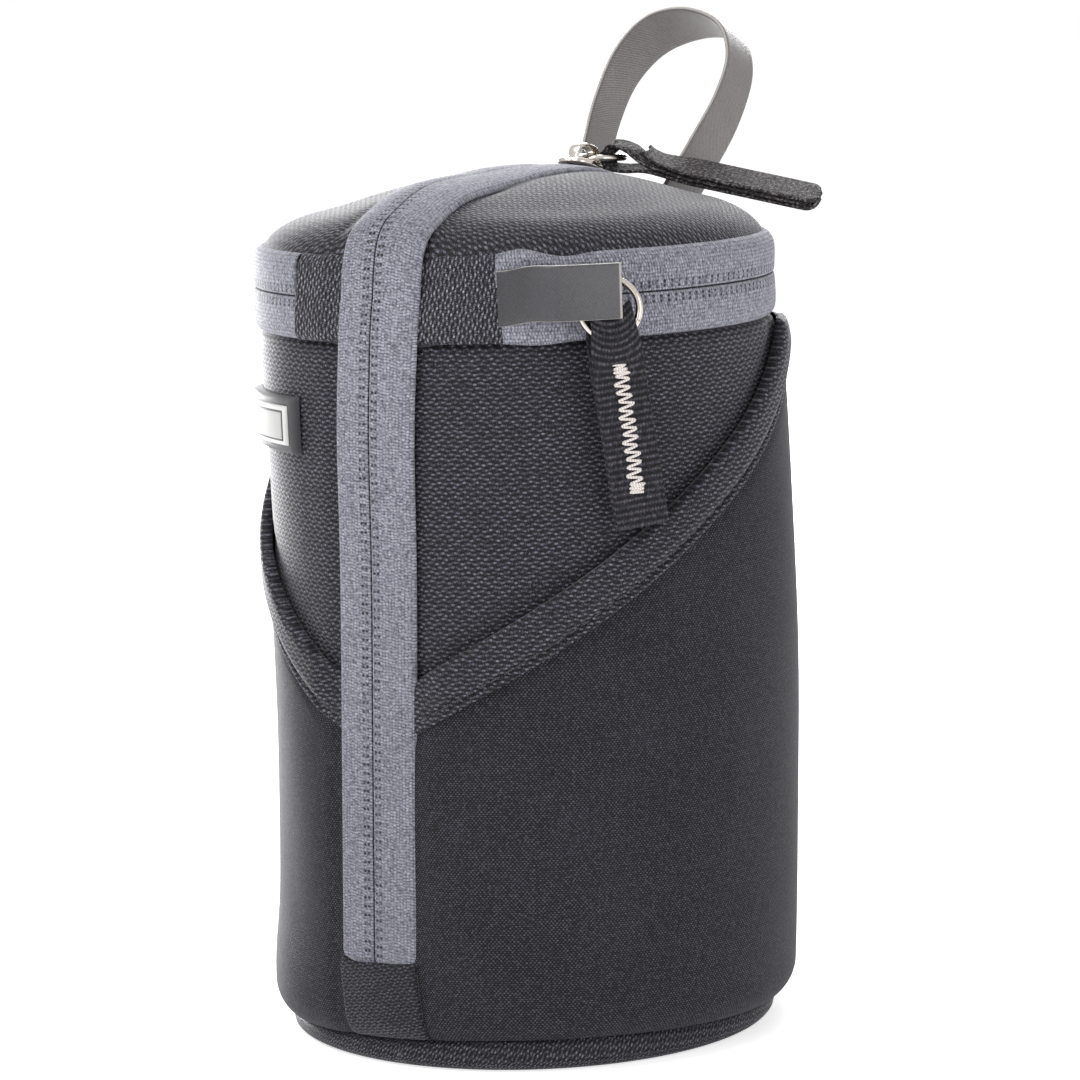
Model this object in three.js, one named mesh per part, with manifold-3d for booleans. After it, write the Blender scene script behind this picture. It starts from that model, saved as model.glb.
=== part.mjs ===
// Padded round lens pouch. Millimetres, +Z up, origin at the middle of the base on the floor.
// The side zip runs up the front (-Y) and over the lid.
// The lid hinges at the front and opens with the zip round its band.
// Angles go round the axis in degrees: 0 at the front (-Y), 90 at +X, 180 at the back (+Y).
import * as THREE from 'three';
import { mergeVertices } from 'three/addons/utils/BufferGeometryUtils.js';
import Module from 'manifold-3d';

const wasm = await Module();
wasm.setup();

// Overall sizes
const BODY_RADIUS = 52.5; // outside of the pocket panel
const BODY_HEIGHT = 141; // floor to the seam under the lid zip
const LID_BAND_HEIGHT = 17; // seam to seam over the lid zip
const DOME_RISE = 13.5; // crown of the lid over its seam
const BASE_INSET = 4.7; // side of the base, in from the outside of the body
const BASE_HEIGHT = 7.3;
const BASE_ROUND = 2.5; // bottom edge of the base
const WALL_ROLL = 4; // rolled lower edge of the wall

// Layers
const STRETCH_THICKNESS = 0.9;
const WEAVE_THICKNESS = 0.9;
const FOAM_THICKNESS = 6;
const LINING_THICKNESS = 0.7;
const BASE_SKIN = 1.2;
const LAYER_GAP = 0.35; // between two layers that lie on each other
const SEAM_GAP = 0.3; // between two edges sewn together

// Pocket edge
const POCKET_LOW = 76.7; // top of the binding beside the side zip
const POCKET_REACH = 112; // angle where that edge meets the lid seam
const POCKET_SAG = 2.4;
const BINDING_DROP = 10.8; // height of the binding, measured straight down
const BINDING_PROUD = 1.1;
const BINDING_END = 1.2; // height left where the binding dies into the lid seam

// Zips
const TAPE_WIDTH = 19; // both tapes of the side zip together
const TAPE_THICKNESS = 1;
const CHAIN_GAP = 0.8; // slit between the two tapes
const COIL_WIDTH = 2.2;
const COIL_THICKNESS = 1.8;
const BAND_PROUD = 0.35; // lid zip over the woven wall
const CROWN_TAPE_PROUD = 0.7; // side zip over the lid panel
const TAPE_BEND = 10.5; // bend of the side zip over the lid's edge
const PATCH_TOP = 21.3; // top of the patch that ends the side zip
const HINGE_RIGHT = 29.5; // ends of the plain hinge band
const HINGE_LEFT = 23;
const TAPE_BACK_INSET = 3; // end of the side zip, from the lid's back edge

// Sliders, rings and pull tabs
const SLIDER_LENGTH = 11;
const SLIDER_WIDTH = 7;
const SLIDER_TAIL = 5.2;
const PLATE_THICKNESS = 1.2;
const SLIDER_GAP = 0.7; // plates to tape and coil
const SLOT_ROOM = 2.1; // each side of the slider in the padding
const POST_LENGTH = 4;
const POST_GAP = 0.2;
const BAIL_LENGTH = 8.4;
const BAIL_WIDTH = 1.8;
const BAIL_BAR = 1;
const BAIL_ROUND = 1.4;
const WIRE_RADIUS = 0.7;
const WIRE_GAP = 0.3;
const RING_RADIUS = 5.5;
const TAB_LENGTH = 39;
const TAB_WIDTH = 10;
const TAB_PLY = 1.2;
const TAB_EYE_WIDTH = 5;
const TAB_EYE_GAP = 0.9;
const TAB_NECK = 7;
const TAB_CORNER = 1.5;
const LID_RING_DROOP = 25; // angle of the lid zip's ring under the chain line
const LID_RING_LIFT = 16; // angle of that ring off the band
const LID_TAB_LEAN = 4; // lean of the hanging tab
const CROWN_SLIDER_BACK = 27; // parked slider behind the middle of the lid
const CROWN_RING_LIFT = 14; // angle of the crown ring off the lid, close to level
const CROWN_TAB_HEADING = 20; // from +X towards the back
const CROWN_TAB_FALL = 13;
const CROWN_TAB_ROLL = 5;

// Zip garage and carry loop, both of the same strap
const STRAP_WIDTH = 10.5;
const STRAP_THICKNESS = 1.2;
const GARAGE_LENGTH = 21;
const GARAGE_COVER = 4.5; // flap past the middle of the parked slider
const GARAGE_ROOT = 1.5; // sewn length of the flap
const GARAGE_RISE = 7; // length over which it lifts clear of the slider
const GARAGE_RAISE = 1; // middle of the flap over the chain line
const LOOP_FOOT = 10.8; // half the spacing of the sewn ends
const LOOP_HALF_WIDTH = 14; // pull of the bowed sides
const LOOP_BOW_HEIGHT = 20.7; // height of that pull
const LOOP_SHOULDER = 18.9; // pull of the rounded top
const LOOP_HEIGHT = 46;
const LOOP_BACK = 44.5; // sewn ends behind the middle of the lid
const LOOP_LEAN = 40;
const LOOP_SEWN = 8; // strap carried down past the lid before it is trimmed

// Badge
const BADGE_START_ANGLE = -58;
const BADGE_END_ANGLE = -23.5;
const BADGE_HEIGHT = 11;
const BADGE_TOP = 130.5;
const BADGE_THICKNESS = 2.2;
const BADGE_MARGIN = 1.6;
const BADGE_PLATE = 0.6;

// Smoothness of round surfaces
const ANGLE_STEP = 7.5;
const FINE_STEP = 2.5;
const ARC_STEPS = 3;
const CROWN_STEPS = 6;
const CURVE_STEPS = 6;
const RING_SIDES = 6;
const RING_STEPS = 20;
const LOOP_STEPS = 14;
const WELD_DISTANCE = 1e-4;

// Radii of the layers, from the outside in
const baseRadius = BODY_RADIUS - BASE_INSET;
const pocketInner = BODY_RADIUS - STRETCH_THICKNESS;
const wallOuter = pocketInner - LAYER_GAP;
const wallInner = wallOuter - WEAVE_THICKNESS;
const foamOuter = wallInner - LAYER_GAP;
const foamInner = foamOuter - FOAM_THICKNESS;
const liningOuter = foamInner - LAYER_GAP;
const bandOuter = wallOuter + BAND_PROUD;
const bandInner = bandOuter - TAPE_THICKNESS;
const coilOuter = bandInner - LAYER_GAP;

// Heights of the seams
const wallBottom = BASE_HEIGHT + SEAM_GAP;
const wallTop = BODY_HEIGHT - SEAM_GAP;
const chainHeight = BODY_HEIGHT + LID_BAND_HEIGHT / 2;
const bandTop = BODY_HEIGHT + LID_BAND_HEIGHT;

// Lid crown: a ball whose edge meets the top of the band
const domeEdge = bandInner - SEAM_GAP;
const domeRadius = (domeEdge ** 2 + DOME_RISE ** 2) / (2 * DOME_RISE);
const domeCentre = bandTop + DOME_RISE - domeRadius;

// Zip shape across the tape, from the tape's outer face: coil, then the slider's plates
const tapeHalf = TAPE_WIDTH / 2;
const slit = CHAIN_GAP / 2;
const coilDepth = TAPE_THICKNESS + LAYER_GAP;
const innerPlateTop = -(coilDepth + COIL_THICKNESS + SLIDER_GAP);
const outerPlateTop = SLIDER_GAP + PLATE_THICKNESS;
const wireLift = outerPlateTop + WIRE_GAP + WIRE_RADIUS;
const bailTop = wireLift + WIRE_RADIUS + WIRE_GAP + BAIL_BAR;
const slotHalf = SLIDER_WIDTH / 2 + SLOT_ROOM;
const lidRim = bandOuter + innerPlateTop - PLATE_THICKNESS - SLIDER_GAP; // lid lining clears the slider

const radians = THREE.MathUtils.degToRad;
const degrees = THREE.MathUtils.radToDeg;

// Materials
function finish(colour, roughness, metalness = 0) {
  return () => new THREE.MeshStandardMaterial({ color: colour, roughness, metalness });
}
const weave = finish(0x2c2d31, 0.85);
const stretch = finish(0x25262b, 0.8);
const zipTape = finish(0x7c7e90, 0.8);
const coilPlastic = finish(0x2a2a2f, 0.5);
const padding = finish(0x3a3b3f, 0.95);
const lining = finish(0x5a5b62, 0.85);
const strapping = finish(0x4b4b4c, 0.55);
const webbing = finish(0x17171a, 0.85);
const nickel = finish(0xb9b4ac, 0.25, 1);
const rubber = finish(0x37383b, 0.6);
const paleRubber = finish(0xcfcfca, 0.55);

// Point at an angle round the axis
function around(angle, radius, height) {
  const turn = radians(angle);
  return [radius * Math.sin(turn), -radius * Math.cos(turn), height];
}

// Angle whose point at this radius lies a given distance to the side of the front
function frontAngle(side, radius) {
  return degrees(Math.asin(side / radius));
}

function meshGeometry(points, index) {
  const geometry = new THREE.BufferGeometry();
  geometry.setAttribute('position', new THREE.Float32BufferAttribute(points, 3));
  geometry.setIndex(index);
  geometry.computeVertexNormals();
  return geometry;
}

// Closed solid between two matching grids of points, given as rows of columns
function solidBetween(outer, inner) {
  const rows = outer.length;
  const columns = outer[0].length;
  const at = (side, row, column) => (side * rows + row) * columns + column;
  const index = [];
  const quad = (a, b, c, d) => index.push(a, b, c, a, c, d);
  for (let row = 0; row < rows - 1; row++) {
    for (let column = 0; column < columns - 1; column++) {
      quad(at(0, row, column), at(0, row, column + 1), at(0, row + 1, column + 1), at(0, row + 1, column));
      quad(at(1, row, column), at(1, row + 1, column), at(1, row + 1, column + 1), at(1, row, column + 1));
    }
    const last = columns - 1;
    quad(at(0, row, 0), at(0, row + 1, 0), at(1, row + 1, 0), at(1, row, 0));
    quad(at(0, row, last), at(1, row, last), at(1, row + 1, last), at(0, row + 1, last));
  }
  for (let column = 0; column < columns - 1; column++) {
    const last = rows - 1;
    quad(at(0, 0, column), at(1, 0, column), at(1, 0, column + 1), at(0, 0, column + 1));
    quad(at(0, last, column), at(0, last, column + 1), at(1, last, column + 1), at(1, last, column));
  }
  return meshGeometry([...outer.flat(2), ...inner.flat(2)], index);
}

// Panel wrapped round the axis; each edge function gives [radius, height] points from bottom to top
function wrappedPanel(from, to, outerEdge, innerEdge, angleStep = ANGLE_STEP) {
  const steps = Math.max(2, Math.ceil((to - from) / angleStep));
  const angles = Array.from({ length: steps + 1 }, (_, step) => from + ((to - from) * step) / steps);
  const grid = (edge) => {
    const column = (angle) => edge(angle).map(([radius, height]) => around(angle, radius, height));
    const columns = angles.map(column);
    return columns[0].map((_, row) => columns.map((points) => points[row]));
  };
  return solidBetween(grid(outerEdge), grid(innerEdge));
}

// Band of even thickness between two heights, which may be functions of the angle
function band(from, to, low, high, inner, outer) {
  const value = (height, angle) => (typeof height === 'function' ? height(angle) : height);
  const edge = (radius) => (angle) => [[radius, value(low, angle)], [radius, value(high, angle)]];
  return wrappedPanel(from, to, edge(outer), edge(inner));
}

// Edge that starts under the body, rolls up round a corner and runs to the top
function rolledEdge(outer, inset, top) {
  const centre = [outer - WALL_ROLL, wallBottom + WALL_ROLL];
  const radius = WALL_ROLL - inset;
  return (angle) => {
    const points = Array.from({ length: ARC_STEPS + 1 }, (_, step) => {
      const turn = radians((90 * step) / ARC_STEPS);
      return [centre[0] + radius * Math.sin(turn), centre[1] - radius * Math.cos(turn)];
    });
    return [...points, [centre[0] + radius, top(angle)]];
  };
}

function rolledPanel(from, to, inset, thickness, top) {
  return wrappedPanel(
    from, to, rolledEdge(BODY_RADIUS, inset, top), rolledEdge(BODY_RADIUS, inset + thickness, top),
  );
}

// Solid of revolution about Z from [radius, height] points that start and end on the axis
function turned(profile) {
  const points = profile.map(([radius, height]) => new THREE.Vector2(radius, height));
  const geometry = new THREE.LatheGeometry(points, 360 / ANGLE_STEP);
  return geometry.rotateX(Math.PI / 2);
}

// Joining and cutting of closed solids
function toSolid(geometry) {
  const bare = geometry.clone();
  bare.deleteAttribute('normal');
  bare.deleteAttribute('uv');
  const merged = mergeVertices(bare, WELD_DISTANCE);
  const corners = merged.index.array;
  const kept = [];
  for (let n = 0; n < corners.length; n += 3) {
    const [a, b, c] = corners.slice(n, n + 3);
    if (a !== b && b !== c && c !== a) kept.push(a, b, c);
  }
  return new wasm.Manifold(new wasm.Mesh({
    numProp: 3,
    vertProperties: Float32Array.from(merged.attributes.position.array),
    triVerts: Uint32Array.from(kept),
  }));
}

function toGeometry(solid) {
  const mesh = solid.getMesh();
  return meshGeometry(mesh.vertProperties, Array.from(mesh.triVerts));
}

function box(low, high) {
  const size = high.map((value, axis) => value - low[axis]);
  const middle = high.map((value, axis) => (value + low[axis]) / 2);
  return new THREE.BoxGeometry(...size).translate(...middle);
}

function extruded(shape, depth) {
  const options = { depth, bevelEnabled: false, curveSegments: CURVE_STEPS };
  const geometry = new THREE.ExtrudeGeometry(shape, options);
  return geometry.translate(0, 0, -depth / 2);
}

const pouch = new THREE.Group();

function add(name, geometry, material) {
  const mesh = new THREE.Mesh(geometry, material());
  mesh.name = name;
  pouch.add(mesh);
  return mesh;
}

// Turn and place a mesh so that its own axes lie along the given directions
function place(mesh, origin, xAxis, yAxis) {
  const zAxis = new THREE.Vector3().crossVectors(xAxis, yAxis);
  mesh.quaternion.setFromRotationMatrix(new THREE.Matrix4().makeBasis(xAxis, yAxis, zAxis));
  mesh.position.copy(origin);
}

// Base: a shallow fabric dish with a foam disc under a lining disc
function buildBase() {
  const skinTop = BASE_HEIGHT;
  const inside = baseRadius - BASE_SKIN;
  const round = Array.from({ length: ARC_STEPS + 1 }, (_, step) => {
    const turn = radians((90 * step) / ARC_STEPS);
    return [
      baseRadius - BASE_ROUND + BASE_ROUND * Math.sin(turn),
      BASE_ROUND - BASE_ROUND * Math.cos(turn),
    ];
  });
  const disc = (radius, low, high) => turned([[0, low], [radius, low], [radius, high], [0, high]]);
  add('base_panel', turned([
    [0, 0], ...round, [baseRadius, skinTop], [inside, skinTop],
    [inside, BASE_ROUND], [inside - BASE_ROUND, BASE_SKIN], [0, BASE_SKIN],
  ]), weave);
  const foamRadius = inside - BASE_ROUND;
  add('base_foam', disc(foamRadius, BASE_SKIN + LAYER_GAP, skinTop - LAYER_GAP), padding);
  add('base_lining', disc(foamRadius, skinTop, wallBottom + LINING_THICKNESS - SEAM_GAP), lining);
}

// Wall: woven skin, foam and lining, all open along the side zip
function buildWall() {
  const edge = frontAngle(tapeHalf + SEAM_GAP, wallInner);
  const inset = BODY_RADIUS - wallOuter;
  add('wall_panel', rolledPanel(edge, 360 - edge, inset, WEAVE_THICKNESS, () => wallTop), weave);

  const floor = wallBottom + LINING_THICKNESS;
  const slot = frontAngle(slotHalf, foamInner);
  const footRadius = BODY_RADIUS - WALL_ROLL - SEAM_GAP;
  const rolled = rolledEdge(BODY_RADIUS, BODY_RADIUS - foamOuter, () => wallTop - LINING_THICKNESS);
  const foamEdge = (angle) => [[footRadius, floor], [footRadius, rolled(angle)[0][1]], ...rolled(angle)];
  const foamBack = (angle) => foamEdge(angle).map(([, height]) => [foamInner, height]);
  add('wall_foam', wrappedPanel(slot, 360 - slot, foamEdge, foamBack), padding);

  const lip = wallTop - LINING_THICKNESS + LAYER_GAP;
  const liningInner = liningOuter - LINING_THICKNESS;
  const lipEdge = () => [[liningOuter, floor], [liningOuter, lip], [foamOuter, lip]];
  const lipBack = () => [
    [liningInner, floor],
    [liningInner, lip + LINING_THICKNESS],
    [foamOuter, lip + LINING_THICKNESS],
  ];
  add('wall_lining', wrappedPanel(slot, 360 - slot, lipEdge, lipBack), lining);
}

// Height of the pocket's bound edge, lowest beside the side zip and rising round both sides
function pocketEdge(angle) {
  const start = frontAngle(tapeHalf, BODY_RADIUS);
  const side = Math.min(Math.abs(angle), 360 - Math.abs(angle));
  const share = (side - start) / (POCKET_REACH - start);
  const sag = 4 * POCKET_SAG * share * (1 - share);
  return POCKET_LOW + (wallTop - POCKET_LOW) * share - sag;
}

// Pocket: stretch panel round the lower body under a folded binding
function buildPocket() {
  const edge = frontAngle(tapeHalf + SEAM_GAP, wallInner);
  const panelTop = (angle) => Math.min(pocketEdge(angle) - BINDING_DROP - SEAM_GAP, wallTop);
  add('pocket_panel', rolledPanel(edge, 360 - edge, 0, STRETCH_THICKNESS, panelTop), stretch);

  const low = (angle) => pocketEdge(angle) - BINDING_DROP;
  let end = POCKET_REACH;
  while (low(end + 1) < wallTop - BINDING_END) end += 1;
  const high = (angle) => Math.min(pocketEdge(angle), wallTop);
  const inner = wallOuter + LAYER_GAP;
  const outer = BODY_RADIUS + BINDING_PROUD;
  add('pocket_binding_right', band(edge, end, low, high, inner, outer), weave);
  add('pocket_binding_left', band(-end, -edge, low, high, inner, outer), weave);
}

// Stations along the side zip: place and outward direction in the plane x = 0, and the bow of the tape
function bodyStations() {
  const station = (height) => ({ y: -BODY_RADIUS, z: height, ny: -1, nz: 0, bow: BODY_RADIUS });
  return [station(PATCH_TOP + SEAM_GAP), station(chainHeight - slit)];
}

function lidStations() {
  const crown = domeRadius + CROWN_TAPE_PROUD;
  const bendY = TAPE_BEND - BODY_RADIUS;
  const bendZ = domeCentre + Math.sqrt((crown - TAPE_BEND) ** 2 - bendY ** 2);
  const bendEnd = Math.atan2(-bendY, bendZ - domeCentre);
  const start = { y: -BODY_RADIUS, z: chainHeight + slit, ny: -1, nz: 0, bow: BODY_RADIUS };
  const bend = Array.from({ length: ARC_STEPS + 1 }, (_, step) => {
    const share = step / ARC_STEPS;
    const tilt = Math.PI / 2 + (bendEnd - Math.PI / 2) * share;
    const [ny, nz] = [-Math.sin(tilt), Math.cos(tilt)];
    const bow = BODY_RADIUS + (domeRadius - BODY_RADIUS) * share;
    return { y: bendY + TAPE_BEND * ny, z: bendZ + TAPE_BEND * nz, ny, nz, bow };
  });
  const backEnd = Math.asin((domeEdge - TAPE_BACK_INSET) / crown);
  const steps = Math.ceil(degrees(backEnd + bendEnd) / ANGLE_STEP);
  const over = Array.from({ length: steps }, (_, step) => {
    const tilt = -bendEnd + ((backEnd + bendEnd) * (step + 1)) / steps;
    const [ny, nz] = [Math.sin(tilt), Math.cos(tilt)];
    return { y: crown * ny, z: domeCentre + crown * nz, ny, nz, bow: domeRadius };
  });
  return [start, ...bend, ...over];
}

// Strip along the stations, from one side distance to another, at a depth under the tape's outer face
function zipStrip(stations, from, to, depth, thickness) {
  const sides = Array.from({ length: ARC_STEPS + 1 }, (_, step) => from + ((to - from) * step) / ARC_STEPS);
  const grid = (lift) => stations.map(({ y, z, ny, nz, bow }) => sides.map((side) => {
    const out = lift - side ** 2 / (2 * bow);
    return [side, y + ny * out, z + nz * out];
  }));
  return solidBetween(grid(-depth), grid(-depth - thickness));
}

function buildSideZip() {
  const runs = [['side_zip', bodyStations()], ['crown_zip', lidStations()]];
  for (const [name, stations] of runs) {
    const coilEnd = slit + COIL_WIDTH;
    add(`${name}_tape_right`, zipStrip(stations, slit, tapeHalf, 0, TAPE_THICKNESS), zipTape);
    add(`${name}_tape_left`, zipStrip(stations, -tapeHalf, -slit, 0, TAPE_THICKNESS), zipTape);
    add(`${name}_coil_right`, zipStrip(stations, slit, coilEnd, coilDepth, COIL_THICKNESS), coilPlastic);
    add(`${name}_coil_left`, zipStrip(stations, -coilEnd, -slit, coilDepth, COIL_THICKNESS), coilPlastic);
  }
  const edge = frontAngle(tapeHalf, BODY_RADIUS);
  add('side_zip_end_patch', rolledPanel(-edge, edge, 0, TAPE_THICKNESS, () => PATCH_TOP), weave);
}

// Lid zip round the band, and the plain hinge band that closes the ring at the front
function buildLidBand() {
  const lowerTop = chainHeight - slit;
  const upperLow = chainHeight + slit;
  const upperTop = bandTop - SEAM_GAP;
  const seam = degrees(SEAM_GAP / bandOuter);
  const start = HINGE_RIGHT + seam;
  const end = 360 - HINGE_LEFT - seam;
  add('lid_zip_tape_lower', band(start, end, BODY_HEIGHT, lowerTop, bandInner, bandOuter), zipTape);
  add('lid_zip_tape_upper', band(start, end, upperLow, upperTop, bandInner, bandOuter), zipTape);

  const coilInner = coilOuter - COIL_THICKNESS;
  const lowerCoil = band(start, end, lowerTop - COIL_WIDTH, lowerTop, coilInner, coilOuter);
  add('lid_zip_coil_lower', lowerCoil, coilPlastic);
  const upperCoil = band(start, end, upperLow, upperLow + COIL_WIDTH, coilInner, coilOuter);
  add('lid_zip_coil_upper', upperCoil, coilPlastic);

  const edge = frontAngle(tapeHalf + SEAM_GAP, bandInner);
  const sides = [['right', edge, HINGE_RIGHT], ['left', -HINGE_LEFT, -edge]];
  for (const [side, from, to] of sides) {
    add(`hinge_band_lower_${side}`, band(from, to, BODY_HEIGHT, lowerTop, bandInner, bandOuter), weave);
    add(`hinge_band_upper_${side}`, band(from, to, upperLow, upperTop, bandInner, bandOuter), weave);
  }
}

// Points of an arc of the lid crown, a depth under its outside, between two radii
function crownArc(depth, fromRadius, toRadius) {
  const ball = domeRadius - depth;
  const from = Math.asin(fromRadius / ball);
  const to = Math.asin(toRadius / ball);
  return Array.from({ length: CROWN_STEPS + 1 }, (_, step) => {
    const tilt = from + ((to - from) * step) / CROWN_STEPS;
    return [ball * Math.sin(tilt), domeCentre + ball * Math.cos(tilt)];
  });
}

// The right or left part of a crown solid, cut clear of the zip
function crownHalf(solid, side, clear) {
  const reach = 2 * BODY_RADIUS;
  const low = [side > 0 ? clear : -reach, -reach, BODY_HEIGHT];
  const high = [side > 0 ? reach : -clear, reach, BODY_HEIGHT + reach];
  return toGeometry(solid.intersect(toSolid(box(low, high))));
}

// Lid: woven panel, foam and lining on each side of the zip
function buildLid() {
  const foamDepth = WEAVE_THICKNESS + LAYER_GAP;
  const liningDepth = foamDepth + FOAM_THICKNESS + LAYER_GAP;
  const skirtInner = lidRim - LINING_THICKNESS;
  const foamEdge = skirtInner - LAYER_GAP;
  const skirtTop = crownArc(foamDepth, 0, lidRim).at(-1)[1];
  const panel = toSolid(turned([...crownArc(WEAVE_THICKNESS, 0, domeEdge), ...crownArc(0, domeEdge, 0)]));
  const foam = toSolid(turned([
    ...crownArc(foamDepth + FOAM_THICKNESS, 0, foamEdge), ...crownArc(foamDepth, foamEdge, 0),
  ]));
  const liner = toSolid(turned([
    ...crownArc(liningDepth + LINING_THICKNESS, 0, lidRim), [lidRim, skirtTop], [skirtInner, skirtTop],
    ...crownArc(liningDepth, skirtInner, 0),
  ]));
  for (const [name, side] of [['right', 1], ['left', -1]]) {
    add(`lid_panel_${name}`, crownHalf(panel, side, tapeHalf + SEAM_GAP), weave);
    add(`lid_foam_${name}`, crownHalf(foam, side, slotHalf), padding);
    add(`lid_lining_${name}`, crownHalf(liner, side, slotHalf), lining);
  }
}

// Slider in its own axes: x along the zip, y across it, z out of the tape, tape's outer face at z = 0
function sliderGeometry() {
  const nose = SLIDER_WIDTH / 2;
  const tail = SLIDER_TAIL / 2;
  const front = SLIDER_LENGTH / 2;
  const outline = new THREE.Shape();
  outline.moveTo(-front, -tail);
  outline.lineTo(front - nose, -nose);
  outline.quadraticCurveTo(front, -nose, front, 0);
  outline.quadraticCurveTo(front, nose, front - nose, nose);
  outline.lineTo(-front, tail);
  outline.closePath();
  const plate = (low) => extruded(outline, PLATE_THICKNESS).translate(0, 0, low + PLATE_THICKNESS / 2);

  const half = BAIL_LENGTH / 2;
  const rise = bailTop - outerPlateTop;
  const arch = new THREE.Shape();
  arch.moveTo(-half, -PLATE_THICKNESS / 2);
  arch.lineTo(-half, rise - BAIL_ROUND);
  arch.quadraticCurveTo(-half, rise, -half + BAIL_ROUND, rise);
  arch.lineTo(half - BAIL_ROUND, rise);
  arch.quadraticCurveTo(half, rise, half, rise - BAIL_ROUND);
  arch.lineTo(half, -PLATE_THICKNESS / 2);
  arch.lineTo(half - BAIL_BAR, -PLATE_THICKNESS / 2);
  arch.lineTo(half - BAIL_BAR, rise - BAIL_BAR);
  arch.lineTo(-half + BAIL_BAR, rise - BAIL_BAR);
  arch.lineTo(-half + BAIL_BAR, -PLATE_THICKNESS / 2);
  arch.closePath();
  const bail = extruded(arch, BAIL_WIDTH).rotateX(Math.PI / 2).translate(0, 0, outerPlateTop);

  const postHalf = slit - POST_GAP;
  const post = box(
    [-POST_LENGTH / 2, -postHalf, innerPlateTop - PLATE_THICKNESS / 2],
    [POST_LENGTH / 2, postHalf, outerPlateTop - PLATE_THICKNESS / 2],
  );
  const parts = [plate(SLIDER_GAP), plate(innerPlateTop - PLATE_THICKNESS), bail, post].map(toSolid);
  return toGeometry(parts.reduce((whole, part) => whole.add(part)));
}

// Folded webbing tab: x along it from the wire in its eye, y through its thickness
function tabGeometry() {
  const eye = WIRE_RADIUS + TAB_EYE_GAP;
  const foldOuter = eye + TAB_PLY;
  const sag = RING_RADIUS - Math.sqrt(RING_RADIUS ** 2 - (TAB_EYE_WIDTH / 2) ** 2);
  const fold = new THREE.Shape();
  fold.moveTo(TAB_NECK + TAB_CORNER, -TAB_PLY);
  fold.lineTo(TAB_NECK + TAB_CORNER, TAB_PLY);
  fold.lineTo(TAB_NECK, TAB_PLY);
  fold.lineTo(0, foldOuter);
  fold.absarc(-sag, 0, foldOuter, Math.PI / 2, (3 * Math.PI) / 2);
  fold.lineTo(0, -foldOuter);
  fold.lineTo(TAB_NECK, -TAB_PLY);
  fold.closePath();
  const hole = new THREE.Path();
  hole.absarc(-sag, 0, eye, Math.PI / 2, (3 * Math.PI) / 2);
  hole.absarc(0, 0, eye, -Math.PI / 2, Math.PI / 2);
  hole.closePath();
  fold.holes.push(hole);

  const half = TAB_WIDTH / 2;
  const strip = new THREE.Shape();
  strip.moveTo(TAB_NECK, -half);
  strip.lineTo(TAB_LENGTH - TAB_CORNER, -half);
  strip.quadraticCurveTo(TAB_LENGTH, -half, TAB_LENGTH, TAB_CORNER - half);
  strip.lineTo(TAB_LENGTH, half - TAB_CORNER);
  strip.quadraticCurveTo(TAB_LENGTH, half, TAB_LENGTH - TAB_CORNER, half);
  strip.lineTo(TAB_NECK, half);
  strip.closePath();
  const flat = extruded(strip, 2 * TAB_PLY).rotateX(-Math.PI / 2);
  return toGeometry(toSolid(extruded(fold, TAB_EYE_WIDTH)).add(toSolid(flat)));
}

// Slider, ring and tab; the ring leaves the bail at a heading and lift, and the tab hangs along a direction
function addPull(names, frame, heading, lift, tabAlong, tabFace) {
  const { origin, along, across, out } = frame;
  place(add(names.slider, sliderGeometry(), nickel), origin, along, across);

  const turn = radians(heading);
  const flat = along.clone().multiplyScalar(Math.cos(turn)).addScaledVector(across, Math.sin(turn));
  const side = new THREE.Vector3().crossVectors(out, flat);
  const reach = flat.multiplyScalar(Math.cos(radians(lift))).addScaledVector(out, Math.sin(radians(lift)));
  const wire = origin.clone().addScaledVector(out, wireLift);
  const centre = wire.clone().addScaledVector(reach, RING_RADIUS);
  const torus = new THREE.TorusGeometry(RING_RADIUS, WIRE_RADIUS, RING_SIDES, RING_STEPS);
  place(add(names.ring, torus, nickel), centre, reach, side);

  const normal = new THREE.Vector3().crossVectors(reach, side);
  const inRing = tabAlong.clone().addScaledVector(normal, -tabAlong.dot(normal)).normalize();
  const eye = centre.clone().addScaledVector(inRing, RING_RADIUS);
  place(add(names.tab, tabGeometry(), webbing), eye, tabAlong, tabFace);
}

const parkedAngle = HINGE_RIGHT + degrees((GARAGE_LENGTH - GARAGE_COVER) / bandOuter);

function buildLidPull() {
  const turn = radians(parkedAngle);
  const frame = {
    origin: new THREE.Vector3(...around(parkedAngle, bandOuter, chainHeight)),
    along: new THREE.Vector3(Math.cos(turn), Math.sin(turn), 0),
    across: new THREE.Vector3(0, 0, 1),
    out: new THREE.Vector3(Math.sin(turn), -Math.cos(turn), 0),
  };
  const lean = radians(LID_TAB_LEAN);
  const hang = frame.along.clone().multiplyScalar(Math.sin(lean));
  hang.addScaledVector(frame.across, -Math.cos(lean));
  const names = { slider: 'lid_zip_slider', ring: 'lid_pull_ring', tab: 'lid_pull_tab' };
  addPull(names, frame, -LID_RING_DROOP, LID_RING_LIFT, hang, frame.out);
}

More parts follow.
